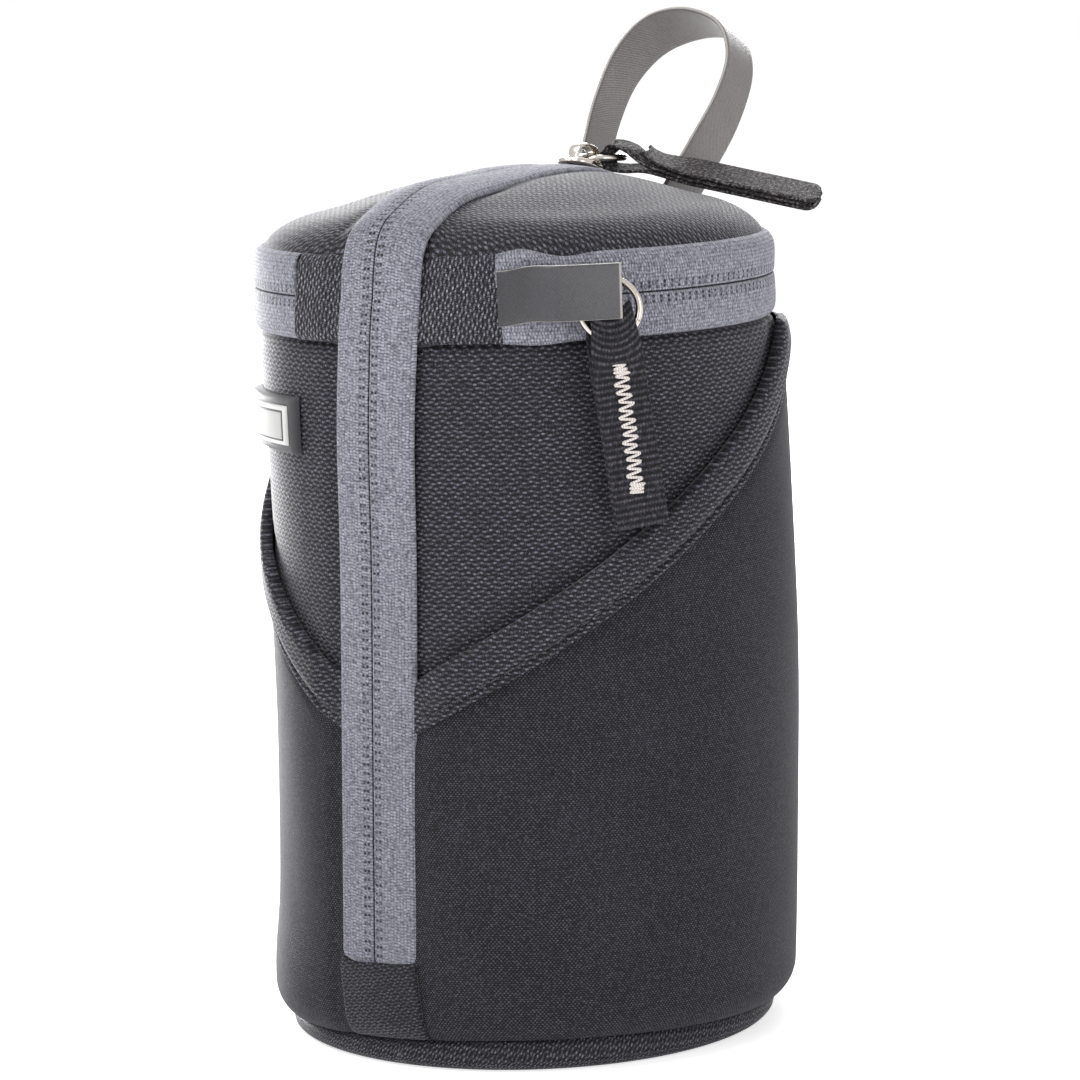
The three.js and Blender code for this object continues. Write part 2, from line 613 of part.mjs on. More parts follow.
function buildCrownPull() {
  const crown = domeRadius + CROWN_TAPE_PROUD;
  const tilt = Math.asin(CROWN_SLIDER_BACK / crown);
  const out = new THREE.Vector3(0, Math.sin(tilt), Math.cos(tilt));
  const frame = {
    origin: out.clone().multiplyScalar(crown).add(new THREE.Vector3(0, 0, domeCentre)),
    along: new THREE.Vector3(0, -Math.cos(tilt), Math.sin(tilt)),
    across: new THREE.Vector3(1, 0, 0),
    out,
  };
  const heading = radians(CROWN_TAB_HEADING);
  const fall = radians(CROWN_TAB_FALL);
  const tabAlong = new THREE.Vector3(
    Math.cos(heading) * Math.cos(fall), Math.sin(heading) * Math.cos(fall), -Math.sin(fall),
  );
  const tabFace = new THREE.Vector3(0, 0, 1).addScaledVector(tabAlong, Math.sin(fall)).normalize();
  tabFace.applyAxisAngle(tabAlong, radians(CROWN_TAB_ROLL));
  const names = { slider: 'side_zip_slider', ring: 'side_pull_ring', tab: 'side_pull_tab' };
  addPull(names, frame, 180, CROWN_RING_LIFT, tabAlong, tabFace);
}

// Garage: a strap sewn under the chain at the zip's end, lifting over the parked slider
function buildGarage() {
  const seat = bandOuter + LAYER_GAP;
  const clear = bandOuter + bailTop + RING_RADIUS * Math.sin(radians(LID_RING_LIFT)) + WIRE_RADIUS;
  const low = chainHeight + GARAGE_RAISE - STRAP_WIDTH / 2;
  const rootTop = chainHeight - CHAIN_GAP;
  const length = (angle) => radians(angle - HINGE_RIGHT) * bandOuter;
  const ease = (share) => THREE.MathUtils.smoothstep(share, 0, 1);
  const lift = (angle) => seat + (clear - seat) * ease((length(angle) - GARAGE_ROOT) / GARAGE_RISE);
  const high = (angle) => rootTop + (low + STRAP_WIDTH - rootTop) * ease(length(angle) / GARAGE_ROOT - 1);
  const edge = (proud) => (angle) => [[lift(angle) + proud, low], [lift(angle) + proud, high(angle)]];
  const end = HINGE_RIGHT + degrees(GARAGE_LENGTH / bandOuter);
  add('zip_garage', wrappedPanel(HINGE_RIGHT, end, edge(STRAP_THICKNESS), edge(0), FINE_STEP), strapping);
}

// Carry loop: a bowed strap standing on both sides of the zip, trimmed to the lid
function buildLoop() {
  const side = (sign) => new THREE.CubicBezierCurve(
    new THREE.Vector2(sign * LOOP_FOOT, 0),
    new THREE.Vector2(sign * LOOP_HALF_WIDTH, LOOP_BOW_HEIGHT),
    new THREE.Vector2(sign * LOOP_SHOULDER, LOOP_HEIGHT),
    new THREE.Vector2(0, LOOP_HEIGHT),
  );
  const right = side(1);
  const points = [];
  for (const offset of [STRAP_THICKNESS / 2, -STRAP_THICKNESS / 2]) {
    const edge = Array.from({ length: LOOP_STEPS + 1 }, (_, step) => {
      const share = step / LOOP_STEPS;
      const tangent = right.getTangent(share);
      return right.getPoint(share).add(new THREE.Vector2(tangent.y, -tangent.x).multiplyScalar(offset));
    });
    const foot = new THREE.Vector2(edge[0].x, -LOOP_SEWN);
    const mirrored = [foot, ...edge].map(({ x, y }) => new THREE.Vector2(-x, y)).reverse();
    const whole = [foot, ...edge, ...mirrored.slice(1)];
    points.push(...(offset > 0 ? whole : whole.reverse()));
  }
  const strap = extruded(new THREE.Shape(points), STRAP_WIDTH).rotateX(Math.PI / 2);
  strap.rotateX(-radians(LOOP_LEAN));
  const foot = Math.hypot(LOOP_FOOT, LOOP_BACK);
  strap.translate(0, LOOP_BACK, domeCentre + Math.sqrt(domeRadius ** 2 - foot ** 2));
  const turns = 360 / ANGLE_STEP;
  const ball = new THREE.SphereGeometry(domeRadius + SEAM_GAP, 2 * turns, turns);
  ball.rotateX(Math.PI / 2).translate(0, 0, domeCentre);
  add('carry_loop', toGeometry(toSolid(strap).subtract(toSolid(ball))), strapping);
}

// Badge on the upper wall: a rubber backing with a pale bare plate
function buildBadge() {
  const low = BADGE_TOP - BADGE_HEIGHT;
  const inner = wallOuter + LAYER_GAP;
  const face = inner + BADGE_THICKNESS;
  const margin = degrees(BADGE_MARGIN / face);
  const plateInner = face + LAYER_GAP;
  add('badge_backing', band(BADGE_START_ANGLE, BADGE_END_ANGLE, low, BADGE_TOP, inner, face), rubber);
  add('badge_plate', band(
    BADGE_START_ANGLE + margin, BADGE_END_ANGLE - margin, low + BADGE_MARGIN, BADGE_TOP - BADGE_MARGIN,
    plateInner, plateInner + BADGE_PLATE,
  ), paleRubber);
}

buildBase();
buildWall();
buildPocket();
buildSideZip();
buildLidBand();
buildLid();
buildLidPull();
buildCrownPull();
buildGarage();
buildLoop();
buildBadge();

export default pouch;
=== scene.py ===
import bmesh
import bpy
import numpy as np
from mathutils import Matrix
from numpy import cos, linspace, pi, radians, sin


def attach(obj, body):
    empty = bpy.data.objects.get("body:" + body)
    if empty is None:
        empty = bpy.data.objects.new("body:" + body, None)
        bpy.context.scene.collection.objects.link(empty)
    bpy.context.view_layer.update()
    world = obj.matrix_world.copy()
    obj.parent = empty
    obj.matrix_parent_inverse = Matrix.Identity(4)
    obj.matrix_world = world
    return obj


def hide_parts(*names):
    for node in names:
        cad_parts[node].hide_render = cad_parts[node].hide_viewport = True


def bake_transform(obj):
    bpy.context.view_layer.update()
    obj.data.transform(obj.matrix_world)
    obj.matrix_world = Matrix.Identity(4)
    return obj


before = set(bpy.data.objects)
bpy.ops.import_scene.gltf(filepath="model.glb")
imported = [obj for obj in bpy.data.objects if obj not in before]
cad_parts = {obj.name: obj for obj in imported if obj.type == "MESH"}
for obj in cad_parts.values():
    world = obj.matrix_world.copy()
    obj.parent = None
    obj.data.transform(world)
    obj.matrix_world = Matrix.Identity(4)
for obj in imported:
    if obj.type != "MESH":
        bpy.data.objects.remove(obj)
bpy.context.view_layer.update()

# Sizes are in millimetres, as in the solids. Angles are degrees round the axis: 0 in front, 90 at +X.
MM = 0.001
BODY_R = 52.5  # outside of the pocket
WALL_R = 51.25  # outside of the woven wall
BAND_R = 51.6  # outside of the lid zip
SEAM_LOW, CHAIN, SEAM_TOP = 141.0, 149.5, 158.0
DOME_R, DOME_CENTRE, DOME_EDGE = 100.457, 71.043, 50.5
CROWN_R = DOME_R + 0.7  # tape over the lid
TAPE_HALF = 9.5
TAPE_ANGLE = np.degrees(np.arcsin(TAPE_HALF / BODY_R))
BASE_R, BASE_H = 48.6, 7.3
FLOOR_R = 42.9  # lining inside the foot
POCKET_LOW, POCKET_HIGH, POCKET_TURN = 76.7, 140.7, 112  # heights of its edge, and how far round it rises
BINDING_WIDE = 10.8
PAD_LOW, PAD_HIGH = 8.6, SEAM_LOW + 2.2  # wall padding
HINGE_RIGHT, HINGE_LEFT = 29.5, -23.0
CHAIN_HALF = 0.08
COIL_PITCH, HOLE_PITCH, RIB_PITCH = 1.3, 1.74, 1.24
TWIST = 0.2  # of the crown tab, in radians
STRAP_HALF = 5.25
RING_R, WIRE_R = 5.5, 0.7
BOW, BOW_ANGLE = 2.2, 122.5  # how far the body bows, and which way
BOW_WAY = (0.843, 0.537)
ZIP_END = 30.2  # tilt of the side zip's end behind the crown's top
LOOP_X, LOOP_Y, LOOP_LEAN = 10.8, 44.5, 40
PARKED = -1.9  # turn of the lid's pull from its solid
FOLD = ((0, 0, 0.1465), (0, 0, 0.1525))  # heights between which the hinge fabric bends


# Shapes


def ease(x):
    """Smooth step from 0 to 1."""
    x = np.clip(x, 0, 1)
    return x * x * (3 - 2 * x)


def lip(distance, reach, depth):
    """Drop of a rolled edge: a quarter ellipse from nothing at `reach` from the edge to `depth` at it."""
    near = 1 - np.clip(distance / reach, 0, 1)
    return depth * (1 - np.sqrt(1 - near**2))


def dent(distance, width, depth):
    """Soft groove: a bell curve of that depth and width."""
    return depth * np.exp(-((distance / width) ** 2))


def ripple(angle, height):
    """Slow waves of padded cloth: three sines round the axis and up it."""
    a = radians(angle)
    slow = 0.2 * sin(2 * a + 0.031 * height + 0.7) + 0.15 * sin(5 * a - 0.024 * height + 2.2)
    return slow + 0.07 * sin(9 * a + 0.11 * height)


def join(*parts):
    """Points or map places from their coordinates."""
    return np.stack(np.broadcast_arrays(*parts), -1)


def net(rows, columns):
    """Grids of two values, the first changing by row and the second by column."""
    return np.meshgrid(rows, columns, indexing="ij")


def around(angle, radius, height):
    """Points at an angle round the axis, a radius from it and a height."""
    turn = radians(angle)
    return join(radius * sin(turn), -radius * cos(turn), height)


def side_of(angle):
    """Angle from the front, the same on both sides."""
    return np.minimum(np.abs(angle), 360 - np.abs(angle))


def bow(height):
    """How far the soft body bows to one side between its foot and the lid."""
    return BOW * sin(pi * np.clip(height / 146, 0, 1))


def slant(height):
    """Sideways drift of the side zip as it climbs the front."""
    climb = -3.6 + 0.0357 * (np.clip(height, 21, 150) - 21) - 0.45 * bow(height)
    return climb - dent(height - 124, 18, 0.6) + 1.0 * ease((height - 142) / 16)


def on_body(angle, radius, height):
    """Points on the standing body: fuller on the side it bows to, drifting with the side zip near it."""
    near = 1 - ease((side_of(angle) - 12) / 40)
    full = radius + bow(height) * cos(radians(angle - BOW_ANGLE))
    return around(angle + near * np.degrees(slant(height) / BODY_R), full, height)


def dense(low, high, count, ends=1.6):
    """Numbers from low to high that crowd towards both ends."""
    t = linspace(-1, 1, count)
    return low + (high - low) * (np.sign(t) * (1 - (1 - np.abs(t)) ** ends) + 1) / 2


def spline(points, count):
    """Catmull-Rom curve through the points, sampled evenly by its length."""
    p = np.asarray(points, float)
    p = np.vstack([2 * p[0] - p[1], p, 2 * p[-1] - p[-2]])
    t = linspace(0, len(p) - 3, 40 * len(p))
    k = np.minimum(t.astype(int), len(p) - 4)
    f = (t - k)[:, None]
    a, b, c, d = (p[k + n] for n in range(4))
    curve = (2 * a - 5 * b + 4 * c - d) * f**2 + (3 * b - a - 3 * c + d) * f**3
    curve = 0.5 * (2 * b + (c - a) * f + curve)
    run = np.r_[0, np.cumsum(np.linalg.norm(np.diff(curve, axis=0), axis=1))]
    even = linspace(0, run[-1], count)
    return np.stack([np.interp(even, run, x) for x in curve.T], -1), even


def unit(v):
    return v / np.linalg.norm(v, axis=-1, keepdims=True)


def skin(outer, inner):
    """Closed sections of a sheet: the outer line and back along the inner one."""
    return np.concatenate([outer, inner[:, ::-1]], 1)


def tube(line, side, radius, sides):
    """Round tube along a line; `side` is any direction across it, and radius may change along it."""
    forward = unit(np.gradient(line, axis=0))
    x = unit(np.cross(np.broadcast_to(side, line.shape), forward))
    y = np.cross(forward, x)
    turn = linspace(0, 2 * pi, sides, endpoint=False)[:, None]
    reach = np.broadcast_to(radius, len(line))[:, None, None]
    return line[:, None] + reach * (cos(turn) * x[:, None] + sin(turn) * y[:, None])


def add(name, data, axes=None, spot=None):
    """New object in the scene, as it is or turned to three axes at a spot."""
    made = bpy.data.objects.new(name, data)
    if axes:
        matrix = np.eye(4)
        matrix[:3, :3], matrix[:3, 3] = np.stack(axes, -1), spot
        made.matrix_world = Matrix(matrix.tolist())
    bpy.context.scene.collection.objects.link(made)
    return made


def solid(name, shells, finish):
    """Mesh of closed sections carried along paths. Each shell is (rings, uv), with rings[i, j] point j of
    section i in mm. Neighbours make quads, the end sections are closed like a ladder, and points that fall
    together, as at a pole or seam, are merged."""
    points, faces, places, count = [], [], [], 0
    for rings, uv in shells:
        m, n = rings.shape[:2]
        row, here = np.arange(m - 1)[:, None] * n, np.arange(n)
        there = (here + 1) % n
        side = np.stack([row + here, row + there, row + n + there, row + n + here], -1).reshape(-1, 4)
        rung = np.arange((n - 1) // 2)
        cap = np.stack([rung, rung + 1, n - 2 - rung, n - 1 - rung], -1)
        quads = np.concatenate([side, cap[:, ::-1], cap + (m - 1) * n])
        points.append(rings.reshape(-1, 3) * MM)
        places.append(np.broadcast_to(uv, (m, n, 2)).reshape(-1, 2)[quads.ravel()])
        faces.append(quads + count)
        count += m * n
    mesh = bpy.data.meshes.new(name)
    mesh.from_pydata(np.concatenate(points).tolist(), [], np.concatenate(faces).tolist())
    places = np.concatenate(places).astype(np.float32)
    mesh.uv_layers.new(name="cloth").uv.foreach_set("vector", places.ravel())
    shape = bmesh.new()
    shape.from_mesh(mesh)
    bmesh.ops.remove_doubles(shape, verts=shape.verts, dist=2e-6)
    bmesh.ops.dissolve_degenerate(shape, edges=shape.edges, dist=1e-7)
    bmesh.ops.recalc_face_normals(shape, faces=shape.faces)
    shape.to_mesh(mesh)
    shape.free()
    mesh.shade_smooth()
    mesh.materials.append(finish)
    return add(name, mesh)


def cloth(name, outer, inner, uv, finish):
    """Sheet between an outer and an inner grid of points."""
    return solid(name, [(skin(outer, inner), skin(uv, uv))], finish)


def body_cloth(name, angle, height, face, back, finish, reach=BODY_R, shift=0):
    """Sheet on the standing body between two radii, mapped by length round the axis and height."""
    outer, inner = on_body(angle + shift, face, height), on_body(angle + shift, back, height)
    return cloth(name, outer, inner, join(radians(angle) * reach, height), finish)


def wear(piece, body, slot, *nodes, bend=None):
    """The piece moves with a body, or, given a bend, is only fixed where it stands; it stands for the
    nodes.
    """
    if bend:
        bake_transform(piece)
    else:
        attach(piece, body)
    if nodes:
        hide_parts(*nodes)
    return piece


# Finishes


def maths(operation):
    """Method that adds a Math node of that operation."""
    return lambda self, *values: self.math(operation, self, *values)


class Sock:
    """One output of a material's nodes; arithmetic on it adds Math nodes."""

    def __init__(self, tree, plug=None):
        self.tree, self.plug = tree, plug

    def node(self, kind, settings=None, sockets=None, out=0):
        """Adds a node with its settings, and its sockets set or linked; gives one output."""
        made = self.tree.nodes.new("ShaderNode" + kind)
        for name, value in (settings or {}).items():
            setattr(made, name, value)
        for name, value in (sockets or {}).items():
            if isinstance(value, Sock):
                self.tree.links.new(value.plug, made.inputs[name])
            else:
                made.inputs[name].default_value = value
        return Sock(self.tree, made.outputs[out])

    def other(self, out):
        return Sock(self.tree, self.plug.node.outputs[out])

    def math(self, operation, *values, clamp=False):
        settings = {"operation": operation, "use_clamp": clamp}
        return self.node("Math", settings, dict(enumerate(values)))

    __add__ = __radd__ = maths("ADD")
    __mul__ = __rmul__ = maths("MULTIPLY")
    __sub__, __truediv__, __pow__ = maths("SUBTRACT"), maths("DIVIDE"), maths("POWER")
    floor, fract, abs = maths("FLOOR"), maths("FRACT"), maths("ABSOLUTE")
    most, least = maths("MAXIMUM"), maths("MINIMUM")

    def __rsub__(self, x):
        return self.math("SUBTRACT", x, self)

    def clip(self):
        return self.math("ADD", self, 0.0, clamp=True)

    def spot(self):
        """Place on the part at rest, in metres."""
        return self.node("TexCoord", out="Object")

    def height(self):
        """Height on the part at rest, in mm."""
        return self.node("SeparateXYZ", None, {0: self.spot()}, 2) / MM

    def wave(self, length):
        """Sine of that wavelength, from 0 to 1."""
        return self.math("SINE", self * (2 * pi / length)) * 0.5 + 0.5

    def step(self, low, high):
        """Smooth step from 0 at low to 1 at high."""
        sockets = {"Value": self, "From Min": low, "From Max": high}
        return self.node("MapRange", {"interpolation_type": "SMOOTHSTEP"}, sockets)

    def between(self, dark, light):
        """Mixes two colours by this value."""
        sockets = {0: self, 6: dark, 7: light}
        return self.node("Mix", {"data_type": "RGBA"}, sockets, out=2)

    def noise(self, scale, detail=2.0):
        """Noise over the object, with scale in waves per metre."""
        sockets = {"Vector": self.spot(), "Scale": scale, "Detail": detail}
        return self.node("TexNoise", None, sockets)

    def chance(self, a, b):
        """One random value for each whole pair of numbers."""
        place = self.node("CombineXYZ", None, {0: a, 1: b})
        return self.node("TexWhiteNoise", {"noise_dimensions": "3D"}, {"Vector": place})

    def along_across(self):
        """The piece's own map, in millimetres."""
        place = self.node("UVMap", {"uv_map": "cloth"})
        split = self.node("SeparateXYZ", None, {0: place})
        return split, split.other(1)


def rgb(r, g, b):
    return (r, g, b, 1.0)


def material(name, depth, fixed, paint=None, *given):
    """Material with fixed values all over. Its paint, with what it is given, sets colour, roughness and
    height from 0 to 1; depth is the height's size in mm."""
    made = bpy.data.materials.new(name)
    made.use_nodes = True
    tree = made.node_tree
    sockets = tree.nodes["Principled BSDF"].inputs
    for socket, value in fixed.items():
        sockets[socket].default_value = value
    if paint:
        start = Sock(tree)
        colour, roughness, height = paint(start, *given)
        tree.links.new(colour.plug, sockets["Base Color"])
        tree.links.new(roughness.plug, sockets["Roughness"])
        if height is not None:
            bump = start.node("Bump", None, {"Strength": 1.0, "Distance": depth * MM, "Height": height})
            tree.links.new(bump.plug, sockets["Normal"])
    return made


def weave_paint(start, turn=0.0, light=rgb(0.182, 0.172, 0.222), size=1.0):
    """Coarse dark nylon: rows of short bright floats, each row shifted by half a float and every second
    float a little higher, over dull crossing threads, with near-black gaps and uneven shine."""
    c, s = float(cos(radians(turn))), float(sin(radians(turn)))
    u, v = start.along_across()
    wander = (start.noise(330) - 0.5) * 0.5
    u, v = c * u + s * v + wander, c * v - s * u + wander * 0.7
    row = v / (0.9 * size)
    line, b = row.floor(), row.fract() - 0.5
    along = u / (1.21 * size) + (line * 0.5).fract()
    cell, a = along.floor(), along.fract() - 0.5
    raised = b + ((cell * 0.5).fract() - 0.25) * 0.6
    bar = ((1 - ((a / 0.33) ** 2) ** 2 - (raised / 0.3) ** 2) * 1.4).clip()
    thread = (1 - ((0.5 - a.abs()) / 0.22) ** 2 - (b / 0.52) ** 2).clip()
    tone = start.chance(cell, line)
    fine = start.noise(2900, 1.0) - 0.5
    shine = bar * (0.3 + tone * 0.3 + fine * 1.9) + thread * (0.17 + fine * 0.9) + fine.clip() * 0.3
    colour = shine.clip().between(rgb(0.003, 0.003, 0.005), light)
    return colour, 0.7 - bar * 0.14, bar * (0.7 + tone * 0.3) + thread * 0.4


def stretch_paint(start):
    """Fine stretch knit: tiny stitches, each row shifted by half a stitch, with bright specks."""
    u, v = start.along_across()
    row = v / 0.42
    line = row.floor()
    along = u / 0.65 + (line * 0.5).fract()
    stitch = (1 - ((along.fract() - 0.5) / 0.4) ** 2 - ((row.fract() - 0.5) / 0.45) ** 2).clip()
    tone = start.chance(along.floor(), line)
    speck = (start.noise(2400) - 0.56).clip() * 2.4
    shade = stitch * (0.3 + tone * 0.6) + speck + (start.noise(45) - 0.5) * 0.14
    colour = shade.clip().between(rgb(0.003, 0.003, 0.004), rgb(0.082, 0.079, 0.103))
    return colour, 0.66 + stitch * 0.1, stitch


def zip_paint(start):
    """Zip tape: columns of small flecks in slightly slanted ridges, uneven in shine and darkened lower down
    by painted shade, with stitch holes beside the chain and a fine broken chain line."""
    u, v = start.along_across()
    wander = (start.noise(420) - 0.5) * 0.5
    column = (v + wander * 0.5) / 0.69
    place = (u + wander) / 0.595 + v * 0.24 + start.chance(column.floor(), (u / 3.1).floor()) * 0.7
    a, b = place.fract() - 0.5, column.fract() - 0.5
    fleck = ((1 - (a / 0.46) ** 2 - ((b / 0.52) ** 2) ** 2) * 1.3).clip()
    tone = start.chance(place.floor(), column.floor())
    side = v.abs()
    off = (side - 0.95).abs().least((side - 1.8).abs())
    along = u / HOLE_PITCH + v.math("GREATER_THAN", v, 0.0) * 0.5
    dot = ((off * off + ((along.fract() - 0.5) * HOLE_PITCH) ** 2) ** 0.5).step(0.42, 0.2)
    hole = dot * (0.55 + start.chance(along.floor(), (v * 1.1).floor()) * 0.5)
    line = side.step(0.26, 0.14) * (0.55 + u.wave(HOLE_PITCH) * 0.4)
    fine = start.noise(2000)
    shade = fleck * (0.16 + tone * 0.5) + (fine - 0.42) * 1.7 + 0.09 + (start.noise(60) - 0.5) * 0.12
    # Painted shade: darker towards the bottom, where less of the light from above reaches the pouch.
    shade = shade * (1 - start.height().step(145, 15) * 0.3)
    woven = shade.clip().between(rgb(0.068, 0.069, 0.090), rgb(0.375, 0.375, 0.438))
    colour = hole.most(line).between(woven, rgb(0.012, 0.012, 0.016))
    return colour, 0.82 - fleck * 0.12, fleck * (0.6 + tone * 0.4) * (1 - dot) - dot * 0.8


def strap_paint(start, bold, low, high):
    """Close strap with a slanted twill, scuffs, pale cut edges and painted shade that darkens it towards
    its sewn end.
    """
    u, v = start.along_across()
    twill = (u + v * 0.8).wave(0.62)
    edge = v.abs().step(STRAP_HALF - 0.16, STRAP_HALF - 0.04)
    edge = edge if bold else edge.most(u.step(19.7, 19.95))
    shade = (start.noise(1800) - 0.5) * (0.6 + bold) + (twill - 0.5) * (0.2 + bold)
    # Painted shade: the last term darkens the strap over its first 17 mm from the sewn end, for the shade
    # on the flap's curving root; the loop's root gets it too.
    shade = shade + start.noise(70) * 0.7 - 0.2 + (u / 17).clip() * 0.55
    colour = edge.between(shade.clip().between(low, high), rgb(0.34, 0.32, 0.30))
    return colour, 0.42 + twill * 0.1, twill


def webbing_paint(start, worn, light):
    """Ribbed webbing: cross ribs broken into small loops by threads along the tab, fuzzy where worn."""
    u, v = start.along_across()
    rib = u.wave(RIB_PITCH) * (1 - worn * 0.6) + worn * 0.3
    line = (u / RIB_PITCH).floor()
    thread = (v + line * 0.29).wave(0.58)
    tone = start.chance((v / 0.58 + line * 0.5).floor(), line)
    speck = start.noise(1900, 1.0).step(0.5, 0.7)
    shine = (rib * rib * 0.9 + 0.1) * (thread * 0.6 + 0.4) * (0.22 + tone * 0.4)
    fuzz = speck * (0.15 + worn * 0.75 + tone * 0.3) * (1 - (1 - rib) * (0.6 - 0.6 * worn))
    shine = shine + fuzz + 0.02
    colour = shine.clip().between(rgb(0.004, 0.004, 0.005), light)
    return colour, 0.72 - rib * 0.1, rib * 0.6 + thread * 0.4 + speck * worn


def nickel_paint(start):
    """Polished nickel, a little dulled and scuffed in patches."""
    dull = start.noise(420, 4.0).step(0.45, 0.75)
    return dull.between(rgb(0.56, 0.52, 0.48), rgb(0.38, 0.35, 0.32)), 0.16 + dull * 0.16, None


def rubber_paint(start, low, high):
    """Moulded rubber with a fine grain and faint handling marks."""
    grain = start.noise(2600, 3.0)
    worn = start.noise(160)
    return (grain * 0.5 + worn * 0.5).between(low, high), 0.5 + grain * 0.2, grain


def lining_paint(start):
    """Smooth brushed lining: a close grid of fine threads with soft cloudy nap."""
    u, v = start.along_across()
    grid = u.wave(0.5) * v.wave(0.5)
    nap = start.noise(90) * 0.6 + start.noise(1200) * 0.4
    colour = (grid * 0.4 + nap * 0.6).between(rgb(0.055, 0.056, 0.064), rgb(0.15, 0.15, 0.168))
    return colour, 0.8 + grid * 0.1, grid


def thread_paint(start, low, high):
    """Twisted thread: slanted strands along it."""
    u, v = start.along_across()
    strand = (u + v * 0.6).wave(0.5)
    return strand.between(low, high), 0.6 + strand * 0.15, strand


def coil_paint(start):
    """Dark nylon coil, faintly mottled."""
    shade = start.noise(700)
    return shade.between(rgb(0.018, 0.018, 0.021), rgb(0.045, 0.045, 0.05)), 0.42 + shade * 0.2, None


def napped(sheen, gloss):
    """Fixed values of a cloth."""
    return {"Sheen Weight": sheen, "Sheen Roughness": 0.3, "Specular IOR Level": gloss}


CLOTH, KNIT, RIBBED = napped(0.14, 0.22), napped(0.03, 0.15), napped(0.06, 0.14)
black_weave = material("coarse_weave", 0.22, CLOTH, weave_paint)
patch_weave = material("patch_weave", 0.1, CLOTH, weave_paint, 10, rgb(0.106, 0.100, 0.126), 0.72)
base_weave = material("base_weave", 0.08, CLOTH, weave_paint, 34, rgb(0.170, 0.163, 0.200), 0.62)
# Painted light: a lit copy of the black weave, much lighter, for the top light the hinge band catches as it
# leans back.
top_lit_hinge_weave = material("top_lit_hinge_weave", 0.16, CLOTH, weave_paint, 86, rgb(0.31, 0.297, 0.36), 0.92)
stretch_knit = material("stretch_knit", 0.06, KNIT, stretch_paint)
grey_tape = material("zip_tape", 0.16, CLOTH, zip_paint)
shades = rgb(0.017, 0.016, 0.019), rgb(0.072, 0.069, 0.077)
flap_strap = material("flap_strap", 0.015, {}, strap_paint, 0.0, *shades)
# Painted light: the loop is the same grey strap as the flap; its much lighter pair stands in for the back
# light on it at the top.
shades = rgb(0.060, 0.054, 0.053), rgb(0.165, 0.152, 0.149)
grey_strap = material("loop_strap", 0.03, {}, strap_paint, 0.5, *shades)
black_webbing = material("ribbed_webbing", 0.2, RIBBED, webbing_paint, 0.0, rgb(0.118, 0.109, 0.131))
worn_webbing = material("worn_webbing", 0.16, RIBBED, webbing_paint, 1.0, rgb(0.172, 0.152, 0.156))
nickel = material("nickel", 0.0, {"Metallic": 1.0}, nickel_paint)
shades = rgb(0.022, 0.022, 0.025), rgb(0.07, 0.07, 0.075)
dark_rubber = material("dark_rubber", 0.05, {}, rubber_paint, *shades)
pale_rubber = material("pale_rubber", 0.03, {}, rubber_paint, rgb(0.48, 0.48, 0.47), rgb(0.68, 0.68, 0.67))
shades = rgb(0.32, 0.32, 0.315), rgb(0.50, 0.50, 0.49)
silver_rubber = material("silver_rubber", 0.03, {}, rubber_paint, *shades)
lining_cloth = material("lining", 0.08, CLOTH, lining_paint)
white_thread = material("pale_thread", 0.06, {}, thread_paint, rgb(0.46, 0.42, 0.40), rgb(0.74, 0.69, 0.67))
shades = rgb(0.012, 0.012, 0.014), rgb(0.07, 0.07, 0.075)
black_thread = material("dark_thread", 0.06, {}, thread_paint, *shades)
coil_plastic = material("coil_plastic", 0.0, {}, coil_paint)


# Body


def off_tape(angle):
    """Distance round the body from the edge of the side zip."""
    return radians(side_of(angle) - TAPE_ANGLE) * BODY_R


def tuck(angle, depth):
    """How far cloth is drawn in beside the side zip and under it."""
    return dent(np.maximum(off_tape(angle), 0), 2.6, depth)


def pocket_edge(angle):
    """Height of the pocket's bound edge: a straight rise from the side zip to the lid seam, less a sag that
    is deeper on the left."""
    share = (side_of(angle) - TAPE_ANGLE) / (POCKET_TURN - TAPE_ANGLE)
    sag = np.where(sin(radians(angle)) < 0, 5.2, 2.4)
    return POCKET_LOW + (POCKET_HIGH - POCKET_LOW) * share - 4 * sag * share * (1 - share)


def foot(angle):
    """Height of the seam round the base, which waves a little."""
    return 4.9 + 1.3 * cos(radians(2 * (angle - 32.5))) + 0.5 * cos(radians(angle - BOW_ANGLE))


def make_base():
    """Turned dish: flat below, a rounded rim, and a drawn-in top edge under the body."""
    turn = linspace(0, pi / 2, 14)
    rise = linspace(0, 1, 14)
    under, top = linspace(0, BASE_R - 2.1, 30), linspace(BASE_R - 1.6, 0, 12)
    r = np.r_[under, BASE_R - 2.0 + 2.2 * sin(turn), BASE_R + 0.2 - lip(1 - rise, 0.8, 1.9), top]
    low = np.r_[np.zeros(30), 2.0 - 2.0 * cos(turn), np.full(26, 2.0)]
    climb = np.r_[np.zeros(44), rise, np.ones(12)]
    angle = linspace(0, 360, 181)[:, None]
    z = low + climb * (foot(angle) + 0.2 - 2.0)
    wave = 0.2 * sin(radians(3 * angle) + 1) * (low > 1)
    rings = around(angle, r * (1 + wave / BASE_R), z) - np.array((*BOW_WAY, 0)) * 0.8
    run = np.cumsum(np.r_[0, np.hypot(np.diff(r), np.diff(low + 2 * climb))])
    side = join(radians(angle) * BASE_R, run)
    uv = np.where((r < BASE_R - 1.9)[None, :, None], rings[..., :2], side)
    piece = solid("base_cup", [(rings, uv)], base_weave)
    wear(piece, "pouch", "black_weave", "base_panel", "base_foam")


